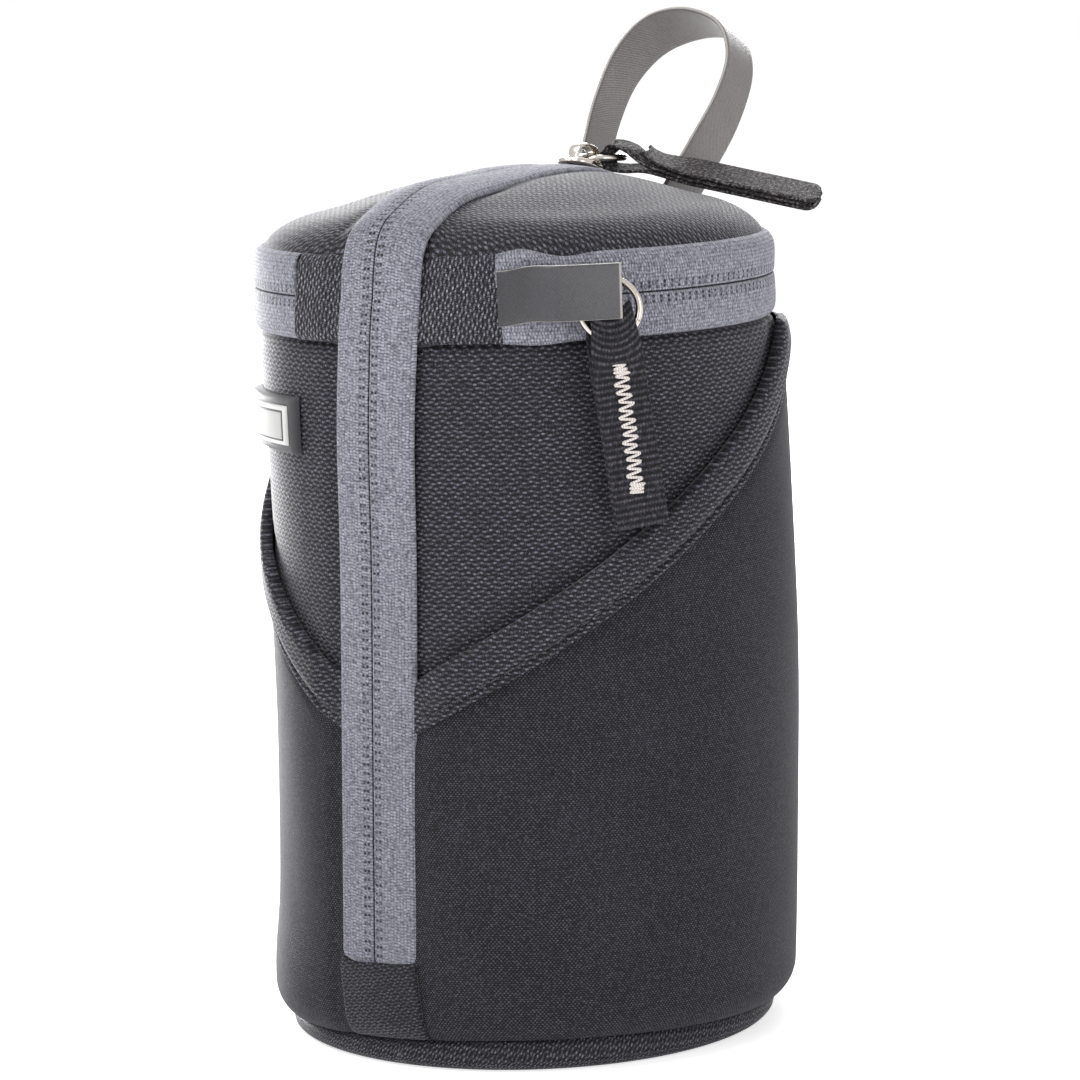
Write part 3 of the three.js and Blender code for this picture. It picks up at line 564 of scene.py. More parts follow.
def make_floor():
    """Padded disc inside the foot: a slightly crowned round with a soft rim."""
    r = np.r_[linspace(0, FLOOR_R, 16), FLOOR_R - linspace(0, FLOOR_R, 16)]
    z = np.r_[np.full(16, BASE_H + 0.1), np.full(16, BASE_H + 1.0)]
    z[16:] += 0.35 * (1 - (r[16:] / FLOOR_R) ** 2) - lip(FLOOR_R - r[16:], 2, 0.5)
    angle = linspace(0, 360, 97)[:, None]
    rings = around(angle, r, z)
    wear(solid("floor_lining", [(rings, rings[..., :2])], lining_cloth), "pouch", "lining", "base_lining")


def make_wall():
    """Woven wall: a round sheet with slow waves, drawn in under the lid seam and beside the zip."""
    angle, height = net(linspace(6.8, 353.2, 250), dense(19, SEAM_LOW + 1.6, 80))
    radius = WALL_R + ripple(angle, height) - lip(SEAM_LOW - 0.1 - height, 3, 1.5)
    radius -= 0.6 * ease((height - 140.3) / 1.2)
    radius -= tuck(angle, 0.8) + dent(height - pocket_edge(angle) - 0.3, 2.2, 0.8)
    piece = body_cloth("wall_weave", angle, height, radius, radius - 0.8, black_weave, WALL_R)
    wear(piece, "pouch", "black_weave", "wall_panel")


def make_wall_pad():
    """Padding and lining inside the wall: a thick open ring with rounded rims, slit along the zip."""
    angle, z = net(dense(6.6, 353.4, 150), linspace(PAD_LOW, PAD_HIGH, 60))
    rim = lip(PAD_HIGH - z, 3.2, 3) + lip(radians(side_of(angle) - 6.6) * 46, 2.5, 2.4)
    piece = body_cloth("wall_pad", angle, z, 49.6 - rim, 42.95 + rim, lining_cloth, 43)
    wear(piece, "pouch", "lining", "wall_foam", "wall_lining")


def make_pocket():
    """Stretch pocket: a sheet over the wall from the foot up into the binding, rolled under at the foot and
    drawn in beside the zip and at the lid seam."""
    angle, t = net(linspace(7.2, 352.8, 270), linspace(0, 1, 90) ** 1.35)
    top = np.minimum(pocket_edge(angle) - 4.5, SEAM_LOW - 0.3)
    low = foot(angle) + 0.1
    height = low + (top - low) * t
    drawn = lip(height - foot(angle), 6, 4.4) + lip(SEAM_LOW - 0.1 - height, 2.5, 1.2)
    drawn += dent(height - pocket_edge(angle) + 11.0, 1.3, 0.6)
    away = np.clip(-cos(radians(angle - BOW_ANGLE)), 0, 1)
    slump = dent(height - 12, 11, 1.1) * away**2
    radius = BODY_R + ripple(angle, height) + slump - drawn - tuck(angle, 1.05)
    piece = body_cloth("pocket_stretch", angle, height, radius, radius - 0.75, stretch_knit)
    wear(piece, "pouch", "stretch_fabric", "pocket_panel")


def binding(angle, share):
    """Radius and height of the binding's face at a share of its width: a sewn lower lip, a stitch groove, a
    full belly and a folded upper edge."""
    edge = pocket_edge(angle)
    top, low = np.minimum(edge, SEAM_LOW - 0.5), np.minimum(edge - BINDING_WIDE, SEAM_LOW - 0.9)
    height = low + (top - low) * share
    full = ease(off_tape(angle) / 7)
    face = 0.55 * ease(share / 0.05) + 0.95 * ease((share - 0.12) / 0.35) - dent(share - 0.2, 0.055, 0.7)
    radius = BODY_R + ripple(angle, edge) + full * (face + 1.0) - 0.75
    return radius - lip(1 - share, 0.2, 1.4) - lip(SEAM_LOW - 0.3 - height, 7, 1.3), height


def make_binding(side, name):
    """Folded binding along the pocket's edge, carried round from the zip to the lid seam."""
    end = POCKET_TURN
    while pocket_edge(side * (end + 1)) - BINDING_WIDE < SEAM_LOW - 1.5:
        end += 1
    angle, share = net(side * linspace(7.4, end, 170), dense(0, 1, 34))
    face, height = binding(angle, share)
    back = BODY_R + ripple(angle, height) - 0.05 - tuck(angle, 1.05) - 0.85 * ease((share - 0.4) / 0.2)
    back = np.minimum(back, face - 0.1)
    piece = body_cloth(f"binding_{name}", angle, height, face, back, black_weave)
    wear(piece, "pouch", "black_weave", f"pocket_binding_{name}")

    count = 44
    start = 12.0 + (end - 16.0) * np.arange(count) / count
    t = linspace(0, 1, 7)
    at = side * (start[:, None] + (end - 16.0) / count * 0.74 * t)
    arch = sin(pi * t) * 0.16
    face, height = binding(at, 0.2)
    line = on_body(at, face - 0.12 + arch, height)
    thick = 0.05 + 0.22 * sin(pi * np.clip(t, 0.06, 0.94)) ** 0.5
    shells = [(tube(p, (0, 0, 1.0), thick, 6), join(t * 2.2, 0)[:, None]) for p in line]
    wear(solid(f"binding_stitches_{name}", shells, black_thread), "pouch", "black_weave")


def make_patch():
    """Woven patch over the zip's lower end: it follows the foot and dips under the tape."""
    angle, share = net(linspace(-TAPE_ANGLE, TAPE_ANGLE, 44), linspace(0, 1, 44))
    low = foot(angle) + 0.1
    height = low + (24.0 - low) * share
    drawn = lip(height - low, 6, 4.4) + 1.3 * ease((height - 19.6) / 2.2)
    edge = lip((TAPE_ANGLE - np.abs(angle)) * 0.916, 0.9, 0.5)
    radius = BODY_R + 0.25 + ripple(angle, height) + 0.1 * sin(radians(angle * 14)) - drawn - edge
    shift = 1.2 * ease((21 - height) / 14)
    piece = body_cloth("zip_end_patch", angle, height, radius, radius - 0.8, patch_weave, BODY_R, shift)
    wear(piece, "pouch", "black_weave", "side_zip_end_patch")


def make_badge():
    """Curved rubber badge: a rounded block on the wall with a raised pale frame and a bare sunken field."""
    mid_a, half_a, mid_z, half_z = -40.6, 17.4, 124.2, 5.6

    def block(inset, base, face, edge):
        span, tall = radians(half_a) * 53 - inset, half_z - inset
        u, v = net(dense(-1, 1, 60), dense(-1, 1, 26))
        depth = face - base
        drop = lip((1 - np.abs(u)) * span, edge, depth) + lip((1 - np.abs(v)) * tall, edge, depth)
        radius = np.maximum(face - drop, base + 0.02)
        angle, height = mid_a + np.degrees(u * span / 53), mid_z + v * tall
        return skin(on_body(angle, radius, height), on_body(angle, base, height)), 0.0

    for name, inset, base, face, edge, finish, *slot in (
        ("badge_frame", 0.0, 0.2, 2.1, 0.8, dark_rubber, "badge_rubber", "badge_backing"),
        ("badge_rim", 1.7, 2.0, 2.8, 0.5, pale_rubber, "badge_plate", "badge_plate"),
        ("badge_line", 2.5, 2.5, 2.9, 0.25, dark_rubber, "badge_rubber"),
        ("badge_field", 2.9, 2.6, 3.1, 0.3, silver_rubber, "badge_plate"),
    ):
        shell = block(inset, WALL_R + base, WALL_R + face, edge)
        wear(solid(name, [shell], finish), "pouch", *slot)


# Zips


def crown_sink(x, y):
    """How far the soft crown lies under a true ball: most on its left, none at the rim or by the loop."""
    r = np.hypot(x, y) / DOME_EDGE
    right = (x * BOW_WAY[0] + y * BOW_WAY[1]) / 50
    return 0.9 * (1 - right) * np.clip(1 - r**4, 0, 1) * (1 - ease((y - 2) / 22))


def zip_path(first, last_tilt):
    """The side zip's middle line in the plane x = 0: up the front, round the lid's edge and over the crown.
    Gives place, outward direction, bow of the tape across it, sideways drift and the length so far."""
    bend_r, bend_y = 16.0, -36.5
    bend_z = DOME_CENTRE + np.sqrt((CROWN_R - bend_r) ** 2 - bend_y**2)
    bend_end = np.arctan2(-bend_y, bend_z - DOME_CENTRE)
    straight = linspace(first, bend_z, int((bend_z - first) / 0.9))
    bend = linspace(pi / 2, bend_end, 28)[1:]
    over = linspace(-bend_end, radians(last_tilt), 110)[1:]
    one = np.ones_like(straight)
    y = np.r_[-BODY_R * one, bend_y - bend_r * sin(bend), CROWN_R * sin(over)]
    z = np.r_[straight, bend_z + bend_r * cos(bend), DOME_CENTRE + CROWN_R * cos(over)]
    ny = np.r_[-one, -sin(bend), sin(over)]
    nz = np.r_[0 * one, cos(bend), cos(over)]
    tilt = np.degrees(np.arctan2(-ny, nz))
    shoulder = 4.1 * ease((88 - tilt) / 55) * (1 - ease((y + 40) / 34))
    y = y + shoulder * ny - bow(z) * cos(radians(BOW_ANGLE))
    z = z + shoulder * nz - crown_sink(0, y)
    round_ = BODY_R - 16 * ease((z - 122) / 24) - 14 * ease((75 - tilt) / 40) + 66 * ease((y + 25) / 45)
    drift = slant(z) * (1 - ease((y + 50) / 26))
    run = np.r_[0, np.cumsum(np.hypot(np.diff(y), np.diff(z)))]
    return y, z, ny, nz, round_, drift, run


def on_path(path, across, lift):
    """Points across the zip's path, lifted off it along its outward direction."""
    y, z, ny, nz, round_, drift, run = (x[:, None] for x in path)
    turn = radians(BOW_ANGLE)
    out = lift - across**2 / (2 * round_) + bow(z) * (cos(across / BODY_R - turn) - cos(turn))
    return join(drift + across, y + ny * out, z + nz * out)


def make_side_zip():
    """Two tapes side by side up the front and over the lid, each with a fine groove at the chain, a slight
    crown and a rolled outer edge."""
    path = zip_path(20.6, ZIP_END)
    run = path[-1][:, None]
    for side, name, wide in ((1, "right", TAPE_HALF), (-1, "left", TAPE_HALF - 1.4)):
        half = wide - lip(run, 2, 2) + (TAPE_HALF - wide) * ease((run - 150) / 30)
        across = CHAIN_HALF + (half - CHAIN_HALF) * dense(0, 1, 30)[None, :]
        lift = 0.2 * sin(pi * np.clip(across / half, 0, 1)) - dent(across - CHAIN_HALF, 0.22, 0.28)
        lift -= lip(half - across, 1, 0.85) + lip(run, 0.7, 0.5) + lip(run[-1] - run, 3, 1.2)
        back = np.minimum(-1.05, lift - 0.15)
        outer, inner = (on_path(path, side * across, x) for x in (lift, back))
        piece = cloth(f"side_tape_{name}", outer, inner, join(run, side * across), grey_tape)
        nodes = (f"side_zip_tape_{name}", f"crown_zip_tape_{name}")
        wear(piece, "pouch", "zip_tape", *nodes, bend=("lid", *FOLD))


def coil(centre, out, across, length):
    """Coil of wire: a helix about a line, wider across the tape than deep."""
    turns = length / COIL_PITCH
    t = linspace(0, 1, int(turns * 9))
    turn = 2 * pi * turns * t
    where = linspace(0, len(centre) - 1, len(t))
    take = lambda x: np.stack([np.interp(where, np.arange(len(x)), c) for c in x.T], -1)
    out, across = take(out), take(across)
    wide, deep = cos(turn)[:, None] * across, sin(turn)[:, None] * out
    line = take(centre) + 0.85 * wide + 0.7 * deep
    return tube(line, np.cross(wide + deep, np.cross(across, out)), 0.3, 5), 0.0


def make_coils():
    """Nylon coils on the back of every tape, on each side of the chain."""
    path = zip_path(21.5, 29.0)
    for name, body in (("side", "pouch"), ("crown", "lid")):
        keep = path[1] < CHAIN - 0.4 if body == "pouch" else path[1] > CHAIN + 0.4
        y, z, ny, nz, round_, drift, run = (x[keep] for x in path)
        for side, hand in ((1, "right"), (-1, "left")):
            centre = join(drift + side * 1.25, y - 2.25 * ny, z - 2.25 * nz)
            wound = coil(centre, join(0, ny, nz), join(1 + 0 * y, 0, 0), run[-1] - run[0])
            piece = solid(f"{name}_coil_{hand}", [wound], coil_plastic)
            wear(piece, body, "zip_coil", f"{name}_zip_coil_{hand}")
    angle = linspace(HINGE_RIGHT + 1, 359 + HINGE_LEFT, 400)
    out = around(angle, 1.0, 0.0)
    across = 0 * out + (0, 0, 1)
    reach = BAND_R - 2.3
    length = radians(angle[-1] - angle[0]) * reach
    for name, body, sign in (("lower", "pouch", -1), ("upper", "lid", 1)):
        centre = around(angle, reach, CHAIN + sign * 1.25)
        piece = solid(f"lid_coil_{name}", [coil(centre, out, across, length)], coil_plastic)
        wear(piece, body, "zip_coil", f"lid_zip_coil_{name}")


def make_lid_tapes():
    """Two tapes round the band, each rolled in at its seam and grooved at the chain; near the garage the
    lower one puffs out and its seam dips."""
    ends = ("lower", "pouch", -1, SEAM_LOW + 0.05), ("upper", "lid", 1, SEAM_TOP - 0.25)
    for name, body, sign, end in ends:
        angle, share = net(linspace(28.6, 337.8, 330), dense(0, 1, 26))
        puff = dent(angle - 37, 6, 0.7) if sign < 0 else dent(angle - 34, 4, 0.9) - dent(angle - 44, 5, 0.6)
        half = abs(end - CHAIN) + puff
        across = CHAIN_HALF + (half - CHAIN_HALF) * share
        roll = lip(half - across, 3.2, 2.4) if sign > 0 else lip(half - across, 2.3, 1.7)
        lift = 0.25 * sin(pi * share) - dent(across - CHAIN_HALF, 0.22, 0.28) - roll
        lift = lift + dent(angle - 37, 7, 0.7 if sign < 0 else 0.3) * sin(pi * share)
        radius = BAND_R + lift + 0.5 * ripple(angle, CHAIN)
        height = CHAIN + sign * across
        uv = join(radians(angle) * BAND_R, sign * across)
        back = np.minimum(BAND_R - 1.0, radius - 0.15)
        outer, inner = around(angle, radius, height), around(angle, back, height)
        piece = cloth(f"lid_tape_{name}", outer, inner, uv, grey_tape)
        wear(piece, body, "zip_tape", f"lid_zip_tape_{name}")


def make_hinge_bands():
    """Plain woven bands that close the ring at the front, on each side of the side zip; they overlap the
    lid tapes' ends."""
    for name, sign, free in (("right", 1, HINGE_RIGHT), ("left", -1, -HINGE_LEFT)):
        angle, share = net(linspace(5.6, free + 0.1, 64), dense(0, 1, 60))
        tall = SEAM_TOP - SEAM_LOW - 0.3 + 3.0 * (1 - ease((off_tape(angle) + 2.2) / 1.5))
        height = SEAM_LOW + 0.05 + tall * share
        edge = radians(free + 0.1 - angle) * BAND_R
        climb = (height - SEAM_LOW) / (SEAM_TOP - SEAM_LOW)
        radius = BAND_R + 0.4 + 0.5 * sin(pi * climb) + 0.3 * ease(1 - edge / 4) - 1.1 * climb
        radius -= lip(height - SEAM_LOW - 0.05, 2, 1.4) + lip(SEAM_TOP - 0.25 - height, 2.2, 1.8)
        radius -= lip(edge, 0.8, 0.8) + tuck(angle, 0.8)
        back = np.minimum(BAND_R - 0.9, radius - 0.15)
        piece = body_cloth(f"hinge_band_{name}", sign * angle, height, radius, back, top_lit_hinge_weave, BAND_R)
        nodes = f"hinge_band_lower_{name}", f"hinge_band_upper_{name}"
        wear(piece, "pouch", "black_weave", *nodes, bend=("lid", *FOLD))


# Lid


def half_round(clear, rim, columns, rows):
    """Places of a half disc cut off at x = clear: rays from the straight edge to the round one."""
    reach = np.arccos(clear / rim) - 0.004
    turn, share = net(dense(-reach, reach, columns, 1.3), dense(0, 1, rows))
    start = clear / cos(turn)
    r = start + (rim - start) * share
    return r * cos(turn), r * sin(turn), r


def dome(r, depth=0.0):
    """Height of the crown's ball, or of one that much smaller, at a distance from the axis."""
    return DOME_CENTRE + np.sqrt((DOME_R - depth) ** 2 - r**2)


def under_tape(x, y):
    """Underside of the side zip's tape above places on the crown, and their distance from its edge."""
    path = zip_path(140, ZIP_END)
    path = [p[np.argmin(path[0]) :] for p in path]
    high, lean, round_, drift = (np.interp(y, path[0], path[k]) for k in (1, 3, 4, 5))
    across = np.abs(x - drift)
    return high - across**2 / (2 * round_) - 1.1 / np.maximum(lean, 0.4), across - TAPE_HALF


def make_lid():
    """Woven crown in two parts beside the zip: a shallow ball that puffs near the rim and rolls down to the
    seam, drawn up to the tape where that lifts over the front; below each a padded lining."""
    for side, name in ((1, "right"), (-1, "left")):
        x, y, r = half_round(5.0, DOME_EDGE, 150, 62)
        top = dome(r) - crown_sink(side * x, y) + dent(r - 43.5, 6, 1.15)
        top += 0.12 * sin(0.12 * x + 0.7) * sin(0.1 * y) - dent(np.maximum(x - 8.6, 0), 2.2, 1)
        top += 1.9 * np.exp(-((x / 20) ** 2) - ((y + 33) / 11) ** 2)
        seat, off = under_tape(side * x, y)
        rim = 1 - (1 - ease((DOME_EDGE - r) / 5)) * ease((off + 2.5) / 2)
        top += np.maximum(seat - top, 0) * (1 - ease((off + 0.5) / 8)) * rim
        top -= lip(DOME_EDGE - r, 4.3, 3)
        outer, inner = (join(side * x, y, z) for z in (top, top - 0.9))
        piece = cloth(f"crown_{name}", outer, inner, join(side * x, y), black_weave)
        wear(piece, "lid", "black_weave", f"lid_panel_{name}")

        clear, edge = 5.6, 45.5
        x, y, r = half_round(clear, edge, 110, 36)
        soft = lip(edge - r, 3, 2.8) + lip(x - clear, 2.5, 2.4)
        high, low = dome(r, 1.4) - 0.6 * soft, dome(r, 8.3) + soft
        low = np.minimum(low, high - 0.1)
        outer, inner = (join(side * x, y, z) for z in (high, low))
        piece = cloth(f"lid_pad_{name}", outer, inner, join(side * x, y), lining_cloth)
        wear(piece, "lid", "lining", f"lid_foam_{name}", f"lid_lining_{name}")


# Straps and pulls


def strap(line, wide, out, half, thick, run):
    """Flat strap along a line, with rounded edges; `wide` points across it and `out` off its face."""
    v = dense(-1, 1, 22)[None, :, None]
    face = thick / 2 * (1 - lip((1 - np.abs(v)) * half, 0.5, 1))
    middle, off = line[:, None] + half * v * wide[:, None], face * out[:, None]
    uv = join(run[:, None], STRAP_HALF * v[..., 0])
    return skin(middle + off, middle - off), skin(uv, uv)


def make_garage():
    """Strap flap sewn in at the zip's end: it lifts over the parked slider and runs on along the band."""
    length = linspace(-0.5, 20.2, 90)
    angle = HINGE_RIGHT + np.degrees(length / BAND_R)
    lift = 0.9 + 6.6 * ease((length - 0.6) / 9.5) + 0.35 * ease((length - 12) / 9)
    line = around(angle, BAND_R + lift, CHAIN + 1.3 - 1.2 * (1 - ease(length / 7)))
    wide = 0 * line + (0, 0, 1)
    out = unit(np.cross(np.gradient(line, axis=0), wide))
    piece = solid("garage_flap", [strap(line, wide, out, STRAP_HALF, 1.0, length)], flap_strap)
    bend = HINGE_RIGHT + np.degrees(np.array((0.5, 5.0)) / BAND_R)
    start, end = (tuple(point) for point in around(bend, BAND_R, CHAIN) * MM)
    wear(piece, "pouch", "grey_strap", "zip_garage", bend=("garage", start, end))


def make_loop():
    """Carry loop: a strap bowed up from both sides of the zip in a plane that leans back."""
    right = [(LOOP_X, -2.5), (LOOP_X, 0), (12.9, 12), (14.8, 24.5), (14.0, 36.5), (9.0, 45.0), (0, 47.9)]
    points = np.vstack([right, (np.array(right) * (-1, 1))[-2::-1]])
    points[:, 0] += np.where(points[:, 0] < 0, 0.9, 0.2) * sin(pi * np.clip(points[:, 1] / 48, 0, 1))
    flat, run = spline(points, 190)
    lean = radians(LOOP_LEAN)
    up, wide = np.array((0, sin(lean), cos(lean))), np.array((0, cos(lean), -sin(lean)))
    root = np.array((0, LOOP_Y, dome(np.hypot(LOOP_X, LOOP_Y))))
    line = root + flat[:, :1] * (1, 0, 0) + flat[:, 1:] * up
    t = pi * run / run[-1]
    twist = radians(6 * sin(t) - 12 * sin(4 * t))[:, None]
    across = cos(twist) * wide + sin(twist) * up
    out = unit(np.cross(across, np.gradient(line, axis=0)))
    piece = solid("loop_strap", [strap(line, across, out, 5.8, 0.9, run)], grey_strap)
    start, end = (tuple((root + rise * up) * MM) for rise in (0.5, 9.0))
    wear(piece, "lid", "grey_strap", "carry_loop", bend=("loop", start, end))


def frame_of(origin, along, out):
    """Local axes x along, y across and z out, as (origin, 3x3)."""
    along, out = unit(np.array(along, float)), unit(np.array(out, float))
    return np.array(origin, float), np.stack([along, np.cross(out, along), out])


def place(points, axes):
    """Points in local axes, carried to where those axes are."""
    return axes[0] + points @ axes[1]


def pebble(outline, low, high, edge):
    """Plate with rounded edges: an outline carried from the middle of its underside round to its top."""
    turn = linspace(0, pi / 2, 6)
    middle = (high - low) / 2
    inset = np.r_[1e3, edge * (1 - sin(turn)), edge * (1 - sin(turn))[::-1], 1e3]
    z = np.r_[low, low + middle * (1 - cos(turn)), high - middle * (1 - cos(turn))[::-1], high]
    reach = np.linalg.norm(outline, axis=1)[:, None]
    scale = np.clip(1 - inset / reach, 0, 1)
    flat = outline[:, None] * scale[..., None]
    return join(flat[..., 0], flat[..., 1], z), 0.0


def slider_shells():
    """Slider in its own axes: a shield-shaped plate with side lips, a second one behind the tape, a post
    between them and a domed bridge that the ring runs under."""
    turn = linspace(0, 2 * pi, 73)
    wide = 3.0 + 1.1 * ease((cos(turn) + 1) / 1.4)
    power = lambda x, n: np.sign(x) * np.abs(x) ** n
    outline = join(6.2 * power(cos(turn), 0.75), wide * power(sin(turn), 0.62))
    post = join(1.9 * cos(turn), 0.19 * sin(turn))
    crest = pebble(outline, 0.7, 1.9, 0.5)[0]
    crest[..., 2] += np.where(crest[..., 2] > 1.3, 0.25 * (1 - (crest[..., 0] / 6.2) ** 2), 0)
    shells = [(crest, 0.0), pebble(outline, -5.05, -3.85, 0.5), pebble(post, -4.5, 1.4, 0.05)]
    arc = linspace(0, pi, 40)
    line = join(4.0 * power(cos(arc), 0.7), 0, 1.5 + 4.0 * power(sin(arc), 0.62))
    half = 1.25 + 0.6 * sin(arc) ** 2
    out = unit(np.cross(np.gradient(line, axis=0), (0, 1.0, 0)))
    out *= np.sign(out[len(out) // 2, 2])
    round_ = linspace(0, 2 * pi, 20, endpoint=False)[None, :, None]
    bridge = line[:, None] + 0.45 * power(sin(round_), 0.8) * out[:, None]
    bridge = bridge + half[:, None, None] * power(cos(round_), 0.8) * np.array((0, 1.0, 0))
    return shells + [(bridge, 0.0)]


def ring_rings(centre, reach, side):
    """Wire ring: a circle of wire in the plane of two directions."""
    turn = linspace(0, 2 * pi, 97)[:, None, None]
    small = linspace(0, 2 * pi, 18, endpoint=False)[None, :, None]
    x, y = unit(np.array(reach)), unit(np.array(side))
    wire = (cos(turn) * x + sin(turn) * y) * (RING_R + WIRE_R * cos(small))
    return np.array(centre) + wire + np.cross(x, y) * WIRE_R * sin(small), 0.0


def twisted(points, twist):
    """Turns a tab about its length, more and more away from the wire."""
    turn = twist * ease((points[..., 0] - 3) / 13)
    x, y, z = np.moveaxis(points, -1, 0)
    return join(x, y * cos(turn) - z * sin(turn), y * sin(turn) + z * cos(turn))


def tab_shells(flip, fat, top, end, tip):
    """Webbing tab in its own axes, x along it from the wire and y through it: one strip that starts between
    the plies, loops over the wire, runs down the face, folds at the end and comes up behind to a cut."""
    inside = [(end - 2.4, 0), (20, 0), (9, 0), (5.4, -0.35), (2.4, -fat), (-1, -fat - 0.1)]
    loop = [(top + 0.8, -1.15), (top, 0.1), (top + 0.7, 1.3)]
    front = [(-0.8, fat + 0.15), (2.4, fat), (5.6, 1.2), (9, 0.92), (22, 0.9)]
    fold = [(end - 1.15, 0.9), (end, 0.45), (end, -0.45), (end - 1.15, -0.9)]
    behind = [(22, -0.92), (9.5, -0.98), (6.4, -1.5), (4.8, -2.5)]
    flat, run = spline(np.array(inside + loop + front + fold + behind) * (1, flip), 620)
    half = 5.0 - 0.8 * ease((5 - flat[:, 0]) / 7) - lip(end + 0.4 - flat[:, 0], 2, tip)
    v = dense(-1, 1, 20)[None, :]
    across = half[:, None] * v
    sag = RING_R - np.sqrt(RING_R**2 - np.minimum(across**2, 22))
    shift = sag * ease((8 - flat[:, :1]) / 8)
    forward = unit(np.gradient(flat, axis=0))
    out = join(-forward[:, 1], forward[:, 0])
    rib = (0.045 + 0.03 * flip) * cos(2 * pi * run / RIB_PITCH)[:, None]
    thick = (0.38 + rib) * (1 - 0.75 * lip((1 - np.abs(v)) * 5, 0.7, 1))
    faces = []
    for sign in (1, -1):
        x = flat[:, :1] + sign * thick * out[:, :1] - shift
        y = flat[:, 1:] + sign * thick * out[:, 1:]
        faces.append(join(x, y, across))
    uv = join(run[:, None], across)
    return skin(*faces), skin(uv, uv)


def zigzag_shells(face, first):
    """Zigzag bar tack on a tab's face: a thread that crosses from side to side, closer at both ends."""
    steps = np.r_[np.full(6, 0.36), np.full(26, 0.79), np.full(5, 0.36)]
    x = first + np.r_[0, np.cumsum(steps)]
    k = np.arange(len(x))
    z = 1.5 * (-1.0) ** k * (1 - 0.16 * np.abs(sin(2.4 * k))) + 0.2 * sin(0.9 * k)
    line, run = spline(join(x, face, z + 0.25 * (x - first - 12) / 12), 12 * len(x))
    line[:, 1] += np.sign(face) * 0.16 * np.abs(sin(pi * linspace(0, len(x) - 1, len(line))))
    return tube(line, (0, 1.0, 0), 0.28, 7), join(run, 0)[:, None]


def make_pull(name, zip_name, slider, ring, tab, shape, stitch, twist, finish):
    """Slider, ring and webbing tab of one zip, with the tab's stitching. Slider, ring and tab are given by
    a point and two directions."""
    slider = frame_of(*slider)
    origin, along, face = (np.array(x) for x in tab)
    tab = origin, np.stack([along, face, np.cross(along, face)])
    shells = [(place(rings, slider), uv) for rings, uv in slider_shells()]
    piece = solid(f"{name}_slider_metal", shells, nickel)
    wear(piece, f"{name}_slider", "nickel", f"{zip_name}_zip_slider")
    piece = solid(f"{name}_ring_wire", [ring_rings(*ring)], nickel)
    wear(piece, f"{name}_ring", "nickel", f"{zip_name}_pull_ring")
    webbing = "webbing", tab_shells(*shape), finish, f"{zip_name}_pull_tab"
    stitches = "stitches", zigzag_shells(*stitch), white_thread
    for kind, (rings, uv), look, *nodes in (webbing, stitches):
        piece = solid(f"{name}_tab_{kind}", [(place(twisted(rings, twist), tab), uv)], look)
        wear(piece, f"{name}_tab", "webbing", *nodes)


def make_pulls():
    """Both pulls, at the solids' own places; the lid's is parked a little nearer to the garage's root."""
    c, s = cos(radians(PARKED)), sin(radians(PARKED))
    turn = lambda *v: np.array(v) @ np.array([[c, s, 0], [-s, c, 0], [0, 0, 1]])
    slider = turn(38.2384, -34.6466, 149.5), turn(0.6714, 0.7411, 0), turn(0.7411, -0.6714, 0)
    ring = turn(44.7282, -34.0608, 147.2656), turn(0.7892, 0.4605, -0.4063), turn(0.2838, 0.3132, 0.9063)
    tab = turn(45.392, -34.3899, 141.8158), turn(0.0878, 0.0969, -0.9914), turn(0.7411, -0.6714, 0.0)
    shape = 1, 1.75, -4.4, 35.6, 0.5
    make_pull("lid", "lid", slider, ring, tab, shape, (1.36, 4.9), 0.0, black_webbing)

    slider = (0, 27, 168.5301), (0, -0.9637, 0.2669), (0, 0.2669, 0.9637)
    ring = (0, 33.2722, 171.1828), (0, 0.9997, -0.0258), (-1.0, 0, 0)
    tab = (5.1579, 35.181, 171.1335), (0.9156, 0.3333, -0.2250), (0.2404, -0.0053, 0.9707)
    shape = -1, 2.2, -2.6, 40.5, 3.4
    make_pull("crown", "side", slider, ring, tab, shape, (-1.36, 9.2), TWIST, worn_webbing)


make_base()
make_floor()
make_wall_pad()
make_wall()
make_pocket()
make_binding(1, "right")
make_binding(-1, "left")
make_patch()
make_badge()
make_side_zip()
make_lid_tapes()
make_hinge_bands()
make_coils()
make_lid()
make_garage()
make_loop()
make_pulls()


# Camera, light and floor


def make_camera():
    """Long lens in front and to the right of the pouch, a little above it and rolled slightly."""
    turn, pitch, pan, roll = radians((32.5, 8.11, 0.234, -1.79))
    eye = np.array((0, -0.85, 0.2176))
    look = np.array((sin(pan) * cos(pitch), cos(pan) * cos(pitch), -sin(pitch)))
    right = unit(np.cross(look, (0, 0, 1.0)))
    up = np.cross(right, look)
    right, up = right * cos(roll) + up * sin(roll), up * cos(roll) - right * sin(roll)
    part = np.array([[cos(turn), -sin(turn), 0], [sin(turn), cos(turn), 0], [0, 0, 1]])
    lens = bpy.data.cameras.new("camera")
    lens.lens, lens.sensor_width, lens.clip_start, lens.clip_end = 142.6, 36.0, 0.05, 20.0
    axes = [part @ way for way in (right, up, -look)]
    bpy.context.scene.camera = add("camera", lens, axes, part @ eye)


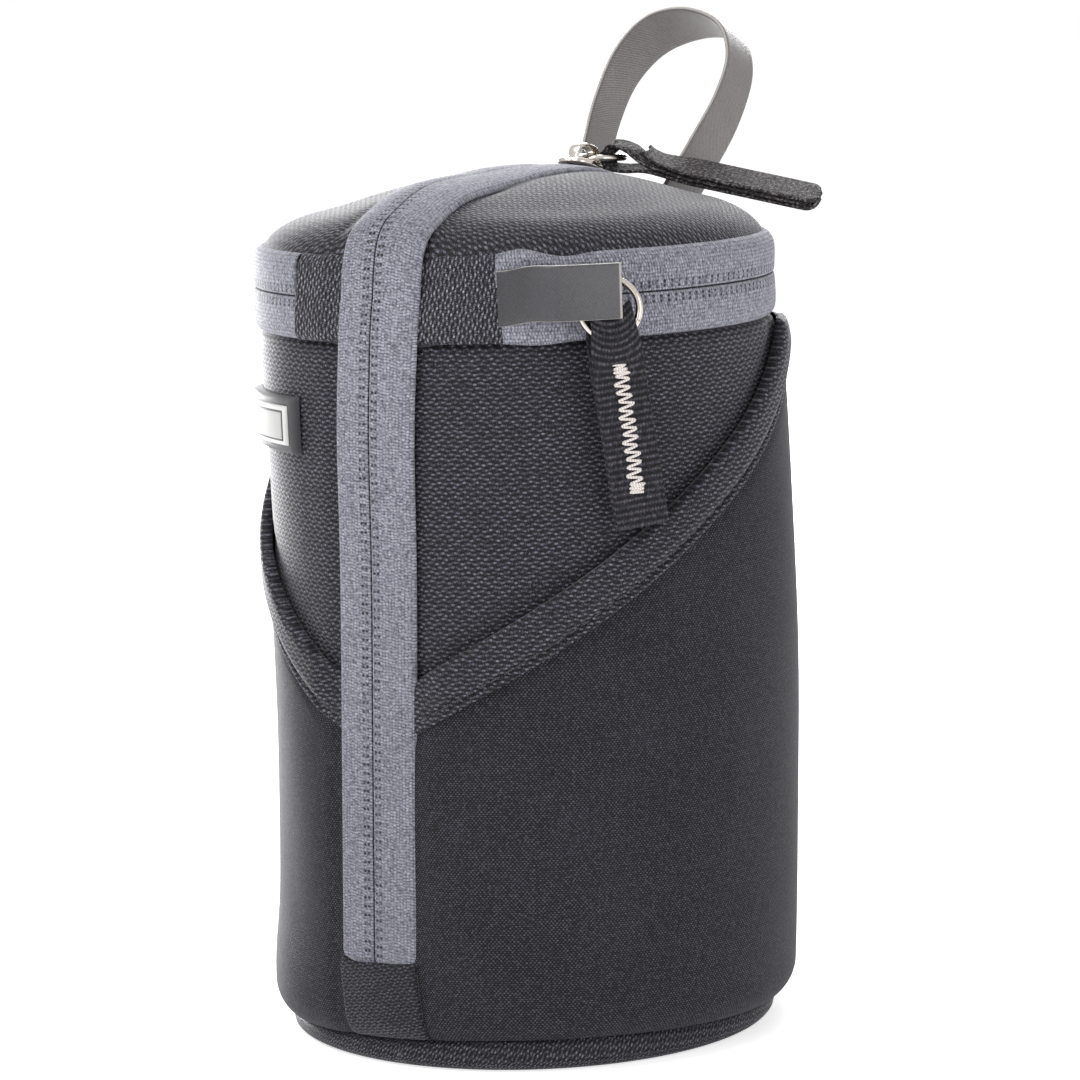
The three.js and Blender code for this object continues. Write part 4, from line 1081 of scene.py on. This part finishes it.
def make_light(name, spot, aim, size, power):
    """Large soft lamp at a spot, turned to a point."""
    lamp = bpy.data.lights.new(name, "AREA")
    lamp.shape, lamp.size, lamp.energy = "DISK", size, power
    z = unit(np.array(spot, float) - np.array(aim, float))
    x = unit(np.cross((0.1, 1.0, 0), z))
    add(name, lamp, [x, np.cross(z, x), z], spot)


AMBIENT = 0.55  # strength of the world's light on the cloth


def make_stage():
    """White floor that keeps the shadow, and a white world seen by the camera and in the metal."""
    world = bpy.data.worlds.new("studio")
    bpy.context.scene.world = world
    world.use_nodes = True
    tree = world.node_tree
    tree.nodes.clear()
    start = Sock(tree)
    path = start.node("LightPath", out="Is Camera Ray")
    seen = path.most(path.other("Is Glossy Ray")).most(path.other("Is Transmission Ray"))
    strength = seen * (1.0 - AMBIENT) + AMBIENT
    shader = start.node("Background", None, {"Color": rgb(1, 1, 1), "Strength": strength})
    output = tree.nodes.new("ShaderNodeOutputWorld")
    tree.links.new(shader.plug, output.inputs["Surface"])

    mesh = bpy.data.meshes.new("studio_floor")
    mesh.from_pydata([(-6, -6, 0), (6, -6, 0), (6, 6, 0), (-6, 6, 0)], [], [(0, 1, 2, 3)])
    fixed = {"Base Color": rgb(0.82, 0.82, 0.82), "Roughness": 1.0, "Specular IOR Level": 0.0}
    fixed |= {"Emission Color": rgb(1, 1, 1), "Emission Strength": 0.62}
    mesh.materials.append(material("white_floor", 0.0, fixed))
    add("studio_floor", mesh)


make_camera()
make_stage()
make_light("back_softbox", (-0.55, 1.0, 0.58), (0, 0, 0.15), 1.0, 20.5)
make_light("top_softbox", (-0.25, -0.45, 1.25), (0, -0.02, 0.15), 0.7, 7.8)
make_light("left_softbox", (-1.05, 0.62, 0.1), (0, 0, 0.1), 0.4, 28.0)
make_light("key_softbox", (0.0, -1.25, 0.8), (0, 0, 0.1), 0.9, 4.2)
make_light("fill_softbox", (1.4, -0.5, 0.3), (0, 0, 0.1), 0.9, 4.7)
bpy.context.scene.view_settings.view_transform = "Standard"
